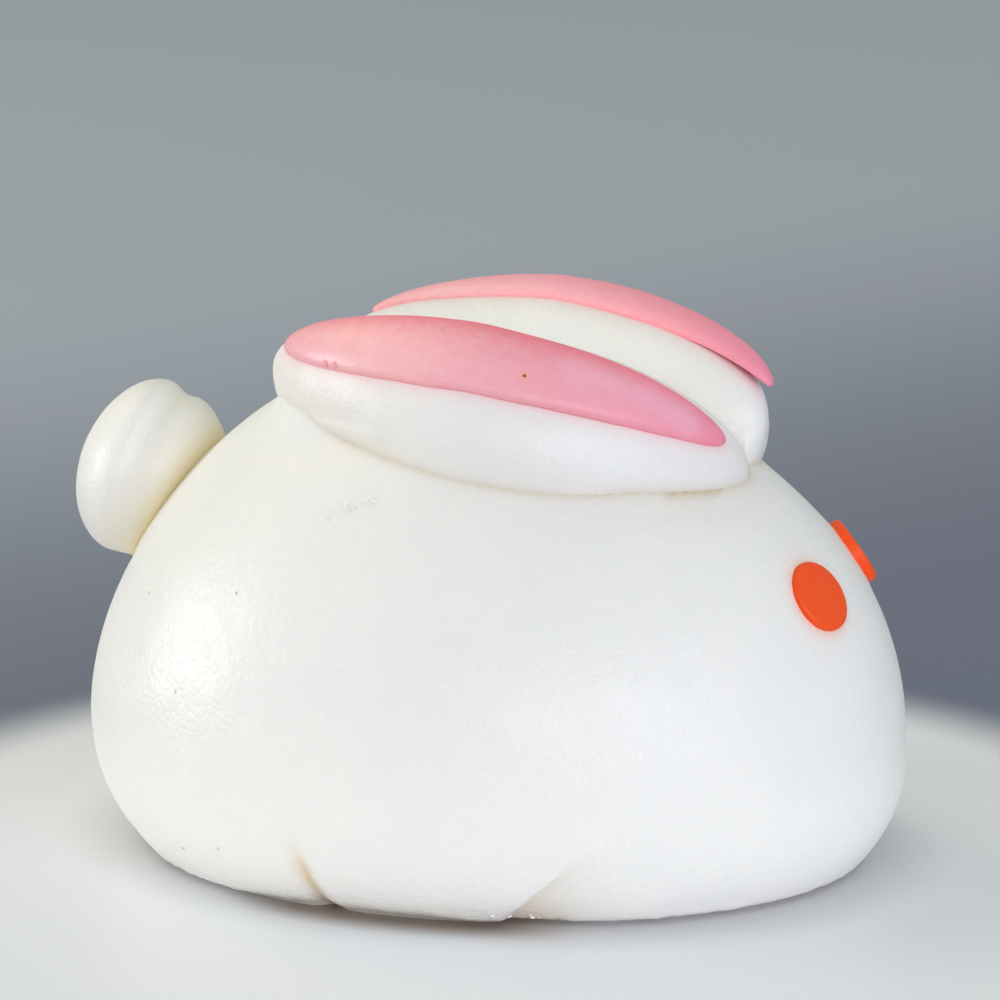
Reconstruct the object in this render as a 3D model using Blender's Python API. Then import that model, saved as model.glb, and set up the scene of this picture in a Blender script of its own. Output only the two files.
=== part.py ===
"""A steamed bun shaped like a sitting rabbit, modelled at its real size in metres.

The rabbit looks along +X, its right side is towards -Y, and +Z is up. The origin is on the flat
underside that the bun was steamed on, below the middle of its back. Eight pieces of dough make it:
the body, a rolled ear on each side of the crown, a pink slip laid on each ear, an eye disc on each
side of the face, and a pinched ball for the tail.
"""

from math import cos, exp, pi, radians, sin, sqrt

import bmesh
import bpy
from mathutils import Matrix, Vector

MM = 0.001
TOUCH_GAP = 0.3 * MM  # air left between two pieces that touch
TURN_STEP = 0.002  # small step over which a surface's direction is read
SHARP_ANGLE = radians(55)  # edges sharper than this are shaded as edges

# ------------------------------------------------------------------ the body: a proved lump of dough
FRONT_REACH = 36.7 * MM  # from the upright axis to the nose
REAR_REACH = 32.1 * MM  # from the upright axis to the rump
HALF_WIDTH = 28.6 * MM
FRONT_PLAN_POWER = 1.86  # under 2 draws the face in towards the nose
REAR_PLAN_POWER = 2.1
WAIST_HEIGHT = 12.6 * MM  # height of the widest line at the flanks
NOSE_DROP = 3.15 * MM  # the widest line runs lower at the nose
RUMP_DROP = 1.4 * MM  # and a little lower at the rump
DOME_RISE = 28.9 * MM  # from the waist to the top of the back
DOME_LEAN = 2.8 * MM  # how far the top of the back lies behind the axis
DOME_POWER = {"front": 2.24, "rear": 1.78, "side": 2.03}
BELLY_DROP = {"front": 18.5 * MM, "rear": 20.7 * MM, "side": 20.0 * MM}
BELLY_POWER = {"front": 2.38, "rear": 2.13, "side": 2.21}
# Rounding takes the kink out of the curves where two quarters of the body meet.
PLAN_ROUNDING = 0.25
PROFILE_ROUNDING = 0.12

BODY_COLUMNS = 100
BODY_ROWS = 22
ROW_CROWDING = 1.35  # over 1 packs the rows towards the folds at the foot
FOLD_CROWDING = 2.6  # extra columns near a fold
FOLD_CROWDING_SPREAD = radians(5)
BEARING_STEPS = 1440  # fine steps in which the columns' bearings are counted out

# A swollen copy of the body trims whatever is pressed onto it. Its allowance keeps the gap open
# where its long facets sag below the curve.
CLEARANCE_COLUMNS = 44
CLEARANCE_ROWS = 14
CLEARANCE_ALLOWANCE = 0.09 * MM
CLEARANCE_LOWEST = radians(-30)

# Folds where the dough was gathered under the bun. For each: the bearing at the foot, the turn of
# its line over its height, its height, its depth at the foot, and how wide its two flanks are, first
# the one on the lower bearing.
FOLDS = (
    # bearing, turn, height, depth, first flank, second flank
    (-152.0, -3.0, 6.0, 1.0, 1.6, 1.4),
    (-104.2, 0.6, 8.0, 1.1, 1.0, 1.3),
    (-66.8, 11.0, 7.6, 1.3, 0.8, 5.5),
    (24.0, -4.0, 6.5, 1.0, 3.0, 0.9),
    (60.0, 3.0, 8.2, 1.2, 1.1, 2.2),
    (96.0, -5.0, 7.0, 1.4, 4.2, 1.0),
    (131.0, 2.0, 5.6, 0.9, 1.3, 1.5),
    (169.0, 4.0, 7.4, 1.1, 1.0, 2.6),
)
FOLD_NARROWING = 0.6  # share of its width that a fold has lost at its top
FOLD_FADE_POWER = 1.2

# ------------------------------------------------------------------ the ears: rolls of dough
# Each runs from its round rear end over a bowed middle to its blunt front end above the brow.
EARS = {
    "right": {
        "side": -1,
        "rear": (-14.8, 6.2, 40.9),
        "bow": (4.8, 16.0, 38.5),
        "front": (24.3, 2.5, 33.0),
        "roll": 11.0,
        "slip_turn": (22.7, 16.7, 17.0),
        "slip_span": (0.05, 0.96),
        "slip_tip_lift": 0.0,
    },
    "left": {
        "side": 1,
        "rear": (-13.6, 6.25, 40.0),
        "bow": (5.6, 16.0, 36.7),
        "front": (24.7, 2.9, 36.6),
        "roll": -1.0,
        "slip_turn": (23.0, 8.5, 5.5),
        "slip_span": (0.07, 0.98),
        "slip_tip_lift": 0.9,
    },
}
EAR_HALF_WIDTH = 8.2 * MM
EAR_HALF_HEIGHT = 7.75 * MM
EAR_SECTION_POWER = 2.25
EAR_REAR_POWER = 1.45  # the rear end tapers
EAR_FRONT_POWER = 2.34  # the front end is blunt
EAR_FRONT_UNDER_POWER = 6.5  # and squarer still on its lower half
EAR_ROWS = 26
EAR_COLUMNS = 24

# ------------------------------------------------------------------ the pink slips on the ears
SLIP_HALF_WIDTH = 4.0 * MM
SLIP_THICKNESS = 0.9 * MM
SLIP_EDGE_SHARE = 0.15  # share of that thickness left at the rim
SLIP_TIP_HEIGHT = 0.2 * MM
SLIP_TIP_POWER = 2.2
SLIP_LIFT_START = 0.7  # share of the slip's length at which a lifted tip leaves the ear
SLIP_ROWS = 22
SLIP_COLUMNS = 8

# ------------------------------------------------------------------ the eyes: punched discs
# "stand" is how far the flat face stands off the dough
EYES = {
    "right": {"bearing": radians(-12.5), "latitude": radians(24.2), "radius": 3.0 * MM, "stand": 0.35 * MM},
    "left": {"bearing": radians(13.9), "latitude": radians(24.4), "radius": 2.95 * MM, "stand": 0.8 * MM},
}
EYE_SINK = 0.7 * MM
EYE_RIM = 0.25 * MM
EYE_SIDES = 28

# ------------------------------------------------------------------ the tail: a pinched ball
TAIL_CENTRE = Vector((-28.6, 0.0, 30.3)) * MM
TAIL_TILT = radians(18)  # how far its axis points up, away from the rump
TAIL_RADIUS = 7.7 * MM
TAIL_OUTER_DEPTH = 5.3 * MM  # from its middle to its outer face
TAIL_ROOT_DEPTH = 7.0 * MM  # from its middle towards the rump, before it is trimmed
TAIL_PINCH = 0.55 * MM  # depth of the groove left by the fingers
TAIL_PINCH_ANGLE = radians(98)
TAIL_PINCH_SPREAD = radians(9)
TAIL_PINCH_BIAS = 0.4  # how much deeper the groove is above than level with the middle
TAIL_ROWS = 18
TAIL_COLUMNS = 24

# ------------------------------------------------------------------ colours and roughness
MATERIALS = {
    "white_dough": ((0.86, 0.85, 0.80, 1.0), 0.45),
    "pink_dough": ((0.93, 0.33, 0.36, 1.0), 0.42),
    "orange_disc": ((0.95, 0.11, 0.03, 1.0), 0.38),
}


def clear_scene():
    """Start from an empty scene."""
    for item in list(bpy.data.objects):
        bpy.data.objects.remove(item, do_unlink=True)


def dough_material(name):
    """A matt dough colour on a plain Principled shader."""
    colour, roughness = MATERIALS[name]
    material = bpy.data.materials.new(name)
    material.use_nodes = True
    shader = material.node_tree.nodes["Principled BSDF"]
    shader.inputs["Base Color"].default_value = colour
    shader.inputs["Roughness"].default_value = roughness
    shader.inputs["Metallic"].default_value = 0.0
    material.diffuse_color = colour
    return material


def soft_power(value, power, rounding):
    """The power of a value's size, rounded off near zero so that no kink is left there."""
    return (value * value + rounding * rounding) ** (power / 2) - rounding**power


def profile_power(value, power):
    """A soft power that is 1 for a value of 1, so that curves of different power meet evenly."""
    return soft_power(value, power, PROFILE_ROUNDING) / soft_power(1.0, power, PROFILE_ROUNDING)


def round_bearing(bearing, sizes):
    """Blend the front, rear and side values of a size around the upright axis."""
    ahead = max(cos(bearing), 0.0) ** 2
    behind = max(-cos(bearing), 0.0) ** 2
    side = sizes["side"]
    return side + (sizes["front"] - side) * ahead + (sizes["rear"] - side) * behind


def plan_radius(bearing):
    """Distance from the upright axis to the waist line, seen from above."""
    radii = []
    for reach, power in ((FRONT_REACH, FRONT_PLAN_POWER), (REAR_REACH, REAR_PLAN_POWER)):
        along = soft_power(cos(bearing), power, PLAN_ROUNDING) / reach**power
        across = soft_power(sin(bearing), power, PLAN_ROUNDING) / HALF_WIDTH**power
        radii.append((along + across) ** (-1 / power))
    ahead = min(max(cos(bearing) + 0.5, 0.0), 1.0)
    ahead = ahead * ahead * (3 - 2 * ahead)
    return radii[0] * ahead + radii[1] * (1 - ahead)


def smooth_body_point(bearing, latitude, grow=0.0):
    """A point on the body without its folds; grow moves the surface outwards."""
    upper = latitude >= 0
    power = round_bearing(bearing, DOME_POWER if upper else BELLY_POWER)
    rise = DOME_RISE if upper else round_bearing(bearing, BELLY_DROP)
    level = profile_power(cos(latitude), power) / plan_radius(bearing) ** power
    upright = profile_power(sin(latitude), power) / rise**power
    radius = (level + upright) ** (-1 / power) + grow
    drop = round_bearing(bearing, {"front": NOSE_DROP, "rear": RUMP_DROP, "side": 0.0})
    z = WAIST_HEIGHT - drop * cos(latitude) ** 2 + radius * sin(latitude)
    lean = DOME_LEAN * min(max((z - WAIST_HEIGHT) / DOME_RISE, 0.0), 1.0) ** 2
    out = radius * cos(latitude)
    return Vector((out * cos(bearing) - lean, out * sin(bearing), z))


def fold_depth(bearing, height, out):
    """How far the folds draw the surface in at this bearing and height."""
    depth = 0.0
    for foot_bearing, turn, fold_height, fold_depth_mm, first_flank, second_flank in FOLDS:
        rise = height / (fold_height * MM)
        if rise >= 1.0:
            continue
        line = radians(foot_bearing + turn * rise)
        aside = (bearing - line + pi) % (2 * pi) - pi
        flank = (first_flank if aside < 0 else second_flank) * MM
        flank *= 1.0 - FOLD_NARROWING * rise
        fade = (1.0 - rise) ** FOLD_FADE_POWER
        depth += fold_depth_mm * MM * fade * exp(-((aside * out / flank) ** 2))
    return depth


def body_point(bearing, latitude):
    """A point on the folded body."""
    point = smooth_body_point(bearing, latitude)
    out = sqrt(point.x**2 + point.y**2)
    inward = fold_depth(bearing, point.z, out)
    point.x -= inward * cos(bearing)
    point.y -= inward * sin(bearing)
    return point


def foot_latitude(bearing):
    """The latitude at which the surface meets the flat underside."""
    low = radians(-70)
    high = 0.0
    for _ in range(40):
        middle = (low + high) / 2
        if smooth_body_point(bearing, middle).z < 0:
            low = middle
        else:
            high = middle
    return high


def fold_bearings():
    """Bearings of the body's columns, crowded together at the folds."""
    weights = []
    for step in range(BEARING_STEPS):
        bearing = -pi + 2 * pi * (step + 0.5) / BEARING_STEPS
        weight = 1.0
        for fold in FOLDS:
            aside = (bearing - radians(fold[0] + fold[1] / 2) + pi) % (2 * pi) - pi
            weight += FOLD_CROWDING * exp(-((aside / FOLD_CROWDING_SPREAD) ** 2))
        weights.append(weight)
    share = sum(weights) / BODY_COLUMNS
    bearings = []
    passed = 0.0
    for step, weight in enumerate(weights):
        if passed >= share * len(bearings):
            bearings.append(-pi + 2 * pi * step / BEARING_STEPS)
        passed += weight
    return bearings[:BODY_COLUMNS]


def new_object(name, mesh_builder, material=None):
    """Put a finished bmesh into the scene as a smooth-shaded object."""
    bmesh.ops.recalc_face_normals(mesh_builder, faces=mesh_builder.faces[:])
    mesh = bpy.data.meshes.new(name)
    mesh_builder.to_mesh(mesh)
    mesh_builder.free()
    mesh.shade_smooth()
    mesh.set_sharp_from_angle(angle=SHARP_ANGLE)
    item = bpy.data.objects.new(name, mesh)
    bpy.context.collection.objects.link(item)
    if material:
        mesh.materials.append(material)
    return item


def skin_rings(rings, first_pole, last_pole):
    """Join rings of points into a closed skin that runs from one pole point to the other."""
    builder = bmesh.new()
    loops = [[builder.verts.new(point) for point in ring] for ring in rings]
    count = len(loops[0])
    for lower, upper in zip(loops, loops[1:]):
        for i in range(count):
            j = (i + 1) % count
            builder.faces.new((lower[i], lower[j], upper[j], upper[i]))
    for loop, pole in ((loops[0], first_pole), (loops[-1], last_pole)):
        tip = builder.verts.new(pole)
        for i in range(count):
            builder.faces.new((loop[i], loop[(i + 1) % count], tip))
    return builder


def make_body():
    """The body, from its flat underside up to the top of the back."""
    columns = [(bearing, foot_latitude(bearing)) for bearing in fold_bearings()]
    rings = []
    for row in range(BODY_ROWS):
        climb = (row / BODY_ROWS) ** ROW_CROWDING
        ring = []
        for bearing, foot in columns:
            point = body_point(bearing, foot + (pi / 2 - foot) * climb)
            if row == 0:
                point.z = 0.0
            ring.append(point)
        rings.append(ring)
    foot_middle = sum(rings[0], Vector()) / BODY_COLUMNS
    builder = skin_rings(rings, foot_middle, smooth_body_point(0.0, pi / 2))
    return new_object("body", builder, dough_material("white_dough"))


def make_body_clearance():
    """A slightly swollen copy of the body, which trims whatever is pressed onto it."""
    swell = TOUCH_GAP + CLEARANCE_ALLOWANCE
    bearings = [2 * pi * (i + 0.5) / CLEARANCE_COLUMNS for i in range(CLEARANCE_COLUMNS)]
    rings = []
    for row in range(CLEARANCE_ROWS):
        latitude = CLEARANCE_LOWEST + (pi / 2 - CLEARANCE_LOWEST) * row / CLEARANCE_ROWS
        rings.append([smooth_body_point(bearing, latitude, swell) for bearing in bearings])
    top = smooth_body_point(0.0, pi / 2, swell)
    cutter = new_object("body_clearance", skin_rings(rings, Vector((0, 0, WAIST_HEIGHT / 2)), top))
    cutter.hide_render = True
    cutter.display_type = "WIRE"
    return cutter


def trim_to_body(item, cutter):
    """Cut a pressed-on piece back to the body's surface, less the touching gap."""
    trim = item.modifiers.new("trim_to_body", "BOOLEAN")
    trim.operation = "DIFFERENCE"
    trim.solver = "EXACT"
    trim.object = cutter


def bow_line(first, bow, last, along):
    """A value on the even curve from first to last that is drawn towards bow."""
    back = 1.0 - along
    return first * back * back + 2 * bow * along * back + last * along * along


def ear_fullness(along, turn=pi / 2):
    """How full an ear's section is along its length, 1 in the middle and 0 at both ends."""
    offset = 2 * along - 1
    under = max(-sin(turn), 0.0)
    front_power = EAR_FRONT_POWER + (EAR_FRONT_UNDER_POWER - EAR_FRONT_POWER) * under
    power = EAR_REAR_POWER if offset < 0 else front_power
    return sqrt(max(1.0 - abs(offset) ** power, 0.0))


def ear_point(ear, along, turn):
    """A point on an ear; turn goes round its section, 0 outboard and a quarter turn on top."""
    centre = [
        bow_line(first, bow, last, along) * MM
        for first, bow, last in zip(ear["rear"], ear["bow"], ear["front"])
    ]
    size = abs(cos(turn)) ** EAR_SECTION_POWER + abs(sin(turn)) ** EAR_SECTION_POWER
    reach = ear_fullness(along, turn) * size ** (-1 / EAR_SECTION_POWER)
    outboard = EAR_HALF_WIDTH * reach * cos(turn)
    upward = EAR_HALF_HEIGHT * reach * sin(turn)
    roll = radians(ear["roll"])
    across = centre[1] + outboard * cos(roll) + upward * sin(roll)
    across = max(across, TOUCH_GAP / 2)  # the two ears flatten where they meet
    height = centre[2] - outboard * sin(roll) + upward * cos(roll)
    return Vector((centre[0], ear["side"] * across, height))


def ear_normal(ear, along, turn):
    """The outward direction on an ear."""
    behind = ear_point(ear, max(along - TURN_STEP, 0.0), turn)
    lengthwise = ear_point(ear, min(along + TURN_STEP, 1.0), turn) - behind
    round_section = ear_point(ear, along, turn + TURN_STEP) - ear_point(ear, along, turn - TURN_STEP)
    return (round_section.cross(lengthwise) * ear["side"]).normalized()


def end_crowded(index, count):
    """Even steps from 0 to 1 that close up towards both ends."""
    return (1.0 - cos(pi * index / count)) / 2


def make_ear(name, ear, material, cutter):
    """One ear, trimmed to the body below it."""
    rings = []
    for row in range(1, EAR_ROWS):
        along = end_crowded(row, EAR_ROWS)
        turns = [2 * pi * i / EAR_COLUMNS for i in range(EAR_COLUMNS)]
        rings.append([ear_point(ear, along, turn) for turn in turns])
    builder = skin_rings(rings, ear_point(ear, 0.0, 0.0), ear_point(ear, 1.0, 0.0))
    item = new_object(name, builder, material)
    trim_to_body(item, cutter)
    return item


def slip_edge_turns(ear, along, share):
    """Where the slip's middle line lies round the ear's section, and its half width as a turn."""
    middle = pi / 2 - radians(bow_line(*ear["slip_turn"], along))
    width = SLIP_HALF_WIDTH * sqrt(max(1.0 - abs(2 * share - 1) ** SLIP_TIP_POWER, 0.0))
    radius = (EAR_HALF_WIDTH + EAR_HALF_HEIGHT) / 2 * ear_fullness(along)
    return middle, width / radius, width


def slip_point(ear, share, across, height):
    """A point of the slip; across runs from -1 to 1 and height is measured off the ear."""
    first, last = ear["slip_span"]
    along = first + (last - first) * share
    middle, half_turn, _ = slip_edge_turns(ear, along, share)
    turn = middle - half_turn * across
    lifted = max(share - SLIP_LIFT_START, 0.0) / (1.0 - SLIP_LIFT_START)
    height += ear["slip_tip_lift"] * MM * lifted**2
    return ear_point(ear, along, turn) + ear_normal(ear, along, turn) * height


def make_slip(name, ear, material):
    """The pink slip: a thin leaf of dough that follows the ear and thins towards its rim."""
    rings = []
    for row in range(1, SLIP_ROWS):
        share = end_crowded(row, SLIP_ROWS)
        fullness = sqrt(slip_edge_turns(ear, 0.5, share)[2] / SLIP_HALF_WIDTH)
        ring = []
        for column in range(2 * SLIP_COLUMNS):
            if column <= SLIP_COLUMNS:
                across = -cos(pi * column / SLIP_COLUMNS)
                crown = sqrt(max(1.0 - across * across, 0.0))
                share_of_thickness = SLIP_EDGE_SHARE + (1.0 - SLIP_EDGE_SHARE) * crown
                height = TOUCH_GAP + share_of_thickness * SLIP_THICKNESS * fullness
            else:
                across = -cos(pi * (2 * SLIP_COLUMNS - column) / SLIP_COLUMNS)
                height = TOUCH_GAP
            ring.append(slip_point(ear, share, across, height))
        rings.append(ring)
    tips = [slip_point(ear, share, 0.0, TOUCH_GAP + SLIP_TIP_HEIGHT) for share in (0.0, 1.0)]
    return new_object(name, skin_rings(rings, *tips), material)


def make_eye(name, eye, material, cutter):
    """A punched disc with a softly rounded rim, its back trimmed to the curve of the face."""
    bearing = eye["bearing"]
    latitude = eye["latitude"]
    seat = smooth_body_point(bearing, latitude)
    round_face = smooth_body_point(bearing + TURN_STEP, latitude) - seat
    up_face = smooth_body_point(bearing, latitude + TURN_STEP) - seat
    facing = round_face.cross(up_face).normalized()
    builder = bmesh.new()
    bmesh.ops.create_cone(
        builder,
        cap_ends=True,
        segments=EYE_SIDES,
        radius1=eye["radius"],
        radius2=eye["radius"],
        depth=eye["stand"] + EYE_SINK,
        matrix=Matrix.Translation((0, 0, (eye["stand"] - EYE_SINK) / 2)),
    )
    rim = [edge for edge in builder.edges if all(vert.co.z > 0 for vert in edge.verts)]
    bmesh.ops.bevel(builder, geom=rim, offset=EYE_RIM, segments=2, affect="EDGES", profile=0.5)
    item = new_object(name, builder, material)
    item.rotation_mode = "QUATERNION"
    item.rotation_quaternion = facing.to_track_quat("Z", "Y")
    item.location = seat
    trim_to_body(item, cutter)
    return item


def tail_point(from_axis, around):
    """A point of the tail ball about its own centre, with its axis along +Z."""
    across = TAIL_RADIUS * sin(from_axis)
    along = (TAIL_OUTER_DEPTH if from_axis < pi / 2 else TAIL_ROOT_DEPTH) * cos(from_axis)
    pinch = TAIL_PINCH * (1.0 - TAIL_PINCH_BIAS + TAIL_PINCH_BIAS * cos(around))
    pinch *= exp(-(((from_axis - TAIL_PINCH_ANGLE) / TAIL_PINCH_SPREAD) ** 2))
    across -= pinch
    return Vector((across * cos(around), across * sin(around), along))


def make_tail(material, cutter):
    """The tail, a ball pressed onto the rump with a groove round its root."""
    rings = []
    for row in range(1, TAIL_ROWS):
        from_axis = pi * row / TAIL_ROWS
        arounds = [2 * pi * i / TAIL_COLUMNS for i in range(TAIL_COLUMNS)]
        rings.append([tail_point(from_axis, around) for around in arounds])
    builder = skin_rings(rings, tail_point(0.0, 0.0), tail_point(pi, 0.0))
    item = new_object("tail", builder, material)
    outward = Vector((-cos(TAIL_TILT), 0.0, sin(TAIL_TILT)))
    upper = Vector((sin(TAIL_TILT), 0.0, cos(TAIL_TILT)))
    sideways = outward.cross(upper)
    turned = Matrix((upper, sideways, outward)).transposed()
    item.rotation_mode = "QUATERNION"
    item.rotation_quaternion = turned.to_quaternion()
    item.location = TAIL_CENTRE
    trim_to_body(item, cutter)
    return item


def main():
    clear_scene()
    body = make_body()
    white = body.data.materials[0]
    pink = dough_material("pink_dough")
    orange = dough_material("orange_disc")
    cutter = make_body_clearance()
    for side_name, ear in EARS.items():
        make_ear(f"ear_{side_name}", ear, white, cutter)
        make_slip(f"inner_ear_{side_name}", ear, pink)
        make_eye(f"eye_{side_name}", EYES[side_name], orange, cutter)
    make_tail(white, cutter)


main()
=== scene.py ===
"""The looks of a steamed bun shaped like a sitting rabbit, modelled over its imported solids.

The rabbit looks along +X, its right side is towards -Y, and the flat underside rests at height
zero. Every dough piece is made again here, fine enough for its skin, folds and seams to be real
shapes, from the same sizes and rules as its solid. All sizes are in metres unless a name says so.
"""

from math import cos, pi, radians, sin

import bmesh
import bpy
import numpy as np
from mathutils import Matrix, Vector


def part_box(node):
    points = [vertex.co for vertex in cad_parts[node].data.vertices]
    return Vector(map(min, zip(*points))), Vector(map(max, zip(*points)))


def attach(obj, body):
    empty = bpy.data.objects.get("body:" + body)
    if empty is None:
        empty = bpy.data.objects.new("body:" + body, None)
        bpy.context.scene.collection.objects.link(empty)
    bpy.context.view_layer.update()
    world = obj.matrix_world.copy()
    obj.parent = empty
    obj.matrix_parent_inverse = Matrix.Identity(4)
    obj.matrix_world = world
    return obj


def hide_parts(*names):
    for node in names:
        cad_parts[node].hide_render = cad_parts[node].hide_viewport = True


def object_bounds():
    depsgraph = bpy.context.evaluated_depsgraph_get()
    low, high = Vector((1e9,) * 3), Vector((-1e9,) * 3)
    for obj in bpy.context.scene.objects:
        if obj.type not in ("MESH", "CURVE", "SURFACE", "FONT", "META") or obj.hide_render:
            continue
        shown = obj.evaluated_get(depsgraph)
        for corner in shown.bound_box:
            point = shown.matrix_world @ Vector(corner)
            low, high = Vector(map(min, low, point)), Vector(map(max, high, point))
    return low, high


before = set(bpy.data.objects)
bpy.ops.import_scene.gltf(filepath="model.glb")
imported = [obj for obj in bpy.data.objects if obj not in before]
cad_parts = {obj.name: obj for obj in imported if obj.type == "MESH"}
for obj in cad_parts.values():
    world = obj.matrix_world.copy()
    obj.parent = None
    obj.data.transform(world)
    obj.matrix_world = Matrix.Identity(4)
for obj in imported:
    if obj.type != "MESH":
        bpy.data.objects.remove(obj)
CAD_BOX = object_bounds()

MM = 0.001
FULL_TURN = 2 * pi
WELD_REACH = 0.002 * MM
FIT_ALLOWANCE = 3.0 * MM  # how far a piece's box may depart from its solid's box


def mm(*values):
    """Values given in millimetres, in metres."""
    return [value * MM for value in values]


def angles(*values):
    """Values given in degrees, in radians."""
    return [radians(value) for value in values]


# ---- the body: a proved lump of dough
FRONT_REACH = 36.7 * MM  # from the upright axis to the nose
REAR_REACH = 32.1 * MM  # from the upright axis to the rump
HALF_WIDTH = 28.6 * MM
FRONT_PLAN_POWER = 1.86  # under 2 draws the face in towards the nose
REAR_PLAN_POWER = 2.1
WAIST_HEIGHT = 12.6 * MM  # height of the widest line at the flanks
NOSE_DROP = 3.15 * MM  # the widest line runs lower at the nose
RUMP_DROP = 1.4 * MM
DOME_RISE = 28.9 * MM  # from the waist to the top of the back
DOME_LEAN = 2.8 * MM  # how far the top of the back lies behind the axis
DOME_POWER = {"front": 2.24, "rear": 1.78, "side": 2.03}
BELLY_DROP = {"front": 18.5 * MM, "rear": 20.7 * MM, "side": 20.0 * MM}
BELLY_POWER = {"front": 2.38, "rear": 2.13, "side": 2.21}
PLAN_ROUNDING = 0.25
PROFILE_ROUNDING = 0.12
BODY_COLUMNS = 452
BODY_ROWS = 205
FOOT_ROW_CROWDING = 1.25  # over 1 packs the rows towards the folds at the foot
UNDERSIDE_ROWS = 4
TUCK_DEPTH = 0.9 * MM  # how far the lower edge is tucked in under the bun
TUCK_HEIGHT = 0.30 * MM
LEAST_TUCK_HEIGHT = 0.1 * MM
TUCK_RAGGEDNESS = 0.25  # share by which the tucked edge's height wanders
TUCK_WAVES = (31, 57, 83, 139, 211)  # waves of that wandering round the foot
TUCK_LIFT = 0.5 * MM  # more height where the foot stands clear of the plate
TUCK_LIFT_BEARING = radians(-98)
TUCK_LIFT_SPREAD = radians(21)
FOOT_LIP_HEIGHT = 0.9 * MM  # where crumbs may hang on the lower edge
FOOT_LIP_SPREAD = 0.5 * MM
LOWEST_LATITUDE = radians(-70)  # between this and the level the foot is searched for
HALVINGS = 40
STEPS_PER_COLUMN = 20
FOLD_CROWDING = 3.0  # how much closer the columns are at the folds
FOLD_CROWDING_SPREAD = radians(4)

# Folds where the dough was gathered under the bun, as in the solid body.
FOLDS = (
    # bearing, turn, height, depth, first flank, second flank
    (-152.0, -3.0, 6.0, 1.0, 1.6, 1.4),
    (-104.2, 0.6, 8.0, 1.1, 1.0, 1.3),
    (-66.8, 11.0, 7.6, 1.3, 0.8, 5.5),
    (24.0, -4.0, 6.5, 1.0, 3.0, 0.9),
    (60.0, 3.0, 8.2, 1.2, 1.1, 2.2),
    (96.0, -5.0, 7.0, 1.4, 4.2, 1.0),
    (131.0, 2.0, 5.6, 0.9, 1.3, 1.5),
    (169.0, 4.0, 7.4, 1.1, 1.0, 2.6),
)
FOLD_NARROWING = 0.6  # share of its flanks that a fold has lost at its top
FOLD_FADE_POWER = 1.2
FOLD_SHADE_STRENGTHS = (0.3, 1.0, 0.25, 0.5, 0.3, 0.6, 0.2, 0.5)  # how much painted shade each fold's line gets
FOLD_SHADE_HEIGHT = 3.9 * MM
FOLD_SHADE_SPREAD = 1.9 * MM
FOLD_SHADE_WIDTH = 0.75 * MM

# ---- the ears and their pink slips
# Sizes go by the names that they have as inputs of the node trees further on.
EAR_SIZES = {
    "Half Width": 8.2 * MM,
    "Half Height": 7.75 * MM,
    "Section Power": 2.25,
    "Rear Power": 1.45,  # the rear end tapers
    "Front Power": 2.34,  # the front end is blunt
    "Front Under Power": 6.5,  # and squarer still on its lower half
    "Middle Gap": 0.05 * MM,  # half the air left where the two ears meet
    "Rows": 170,
    "Columns": 132,
}
SLIP_SIZES = {
    "Slip Half Width": 4.0 * MM,
    "Thickness": 1.1 * MM,
    "Sink": 0.25 * MM,  # how far its underside lies in the ear
    "Lift Start": 0.7,  # share of the slip's length at which a lifted tip leaves the ear
    "Tip Power": 2.2,
    "Edge Power": 2.5,  # over 2 makes the edge blunt
    "Rows": 170,
    "Columns": 76,
}
# Places as for a left ear; the side turns them over for a right one.
EARS = {
    "right": {
        "Side": -1.0,
        "Rear": mm(-14.8, 6.2, 40.9),
        "Bow": mm(4.8, 16.0, 38.5),
        "Front": mm(24.3, 2.5, 33.0),
        "Roll": radians(11.0),
        "Slip Turns": angles(22.7, 16.7, 17.0),
        "First": 0.05,
        "Last": 0.96,
        "Tip Lift": 0.0,
    },
    "left": {
        "Side": 1.0,
        "Rear": mm(-13.6, 6.25, 40.0),
        "Bow": mm(5.6, 16.0, 36.7),
        "Front": mm(24.7, 2.9, 36.6),
        "Roll": radians(-1.0),
        "Slip Turns": angles(23.0, 8.5, 5.5),
        "First": 0.07,
        "Last": 0.98,
        "Tip Lift": 0.9 * MM,
    },
}

# ---- the eyes and the tail
# "facing" is the bearing and latitude; "stand" is how far the flat face stands off the dough.
EYES = {
    "right": {"facing": angles(-12.5, 24.2), "radius": 3.0 * MM, "stand": 0.35 * MM},
    "left": {"facing": angles(13.9, 24.4), "radius": 2.95 * MM, "stand": 0.8 * MM},
}
EYE_SINK = 1.4 * MM
EYE_RIM = 0.3 * MM  # rounding of the edge of the face
EYE_DOME = 0.12 * MM
EYE_STEP = 0.01  # angle over which the slope of the cheek is taken
EYE_INNER_RING = 0.02  # share of the flat radius
EYE_FACE_ROWS = 18
EYE_RIM_ROWS = 8
EYE_WALL_ROWS = 8
EYE_COLUMNS = 112

TAIL_CENTRE = Vector((-28.6, 0.0, 30.3)) * MM
TAIL_TILT = radians(18)
TAIL_RADIUS = 7.7 * MM
TAIL_OUTER_DEPTH = 5.3 * MM
TAIL_ROOT_DEPTH = 7.0 * MM
TAIL_PINCH = 0.55 * MM
TAIL_PINCH_SHARE = 0.4  # share by which the groove's depth swings, deepest on top
TAIL_PINCH_ANGLE = radians(98)
TAIL_PINCH_SPREAD = radians(9)
TAIL_ROWS = 96
TAIL_COLUMNS = 144

# ---- relief, seams, marks and small things on the dough
SCRATCH = ((-5.9, -20.7, 31.9), (-2.2, -20.3, 33.7))  # its two ends, in millimetres
SLIP_PORE = (9.07, -15.87, 43.21)  # in millimetres
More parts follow.
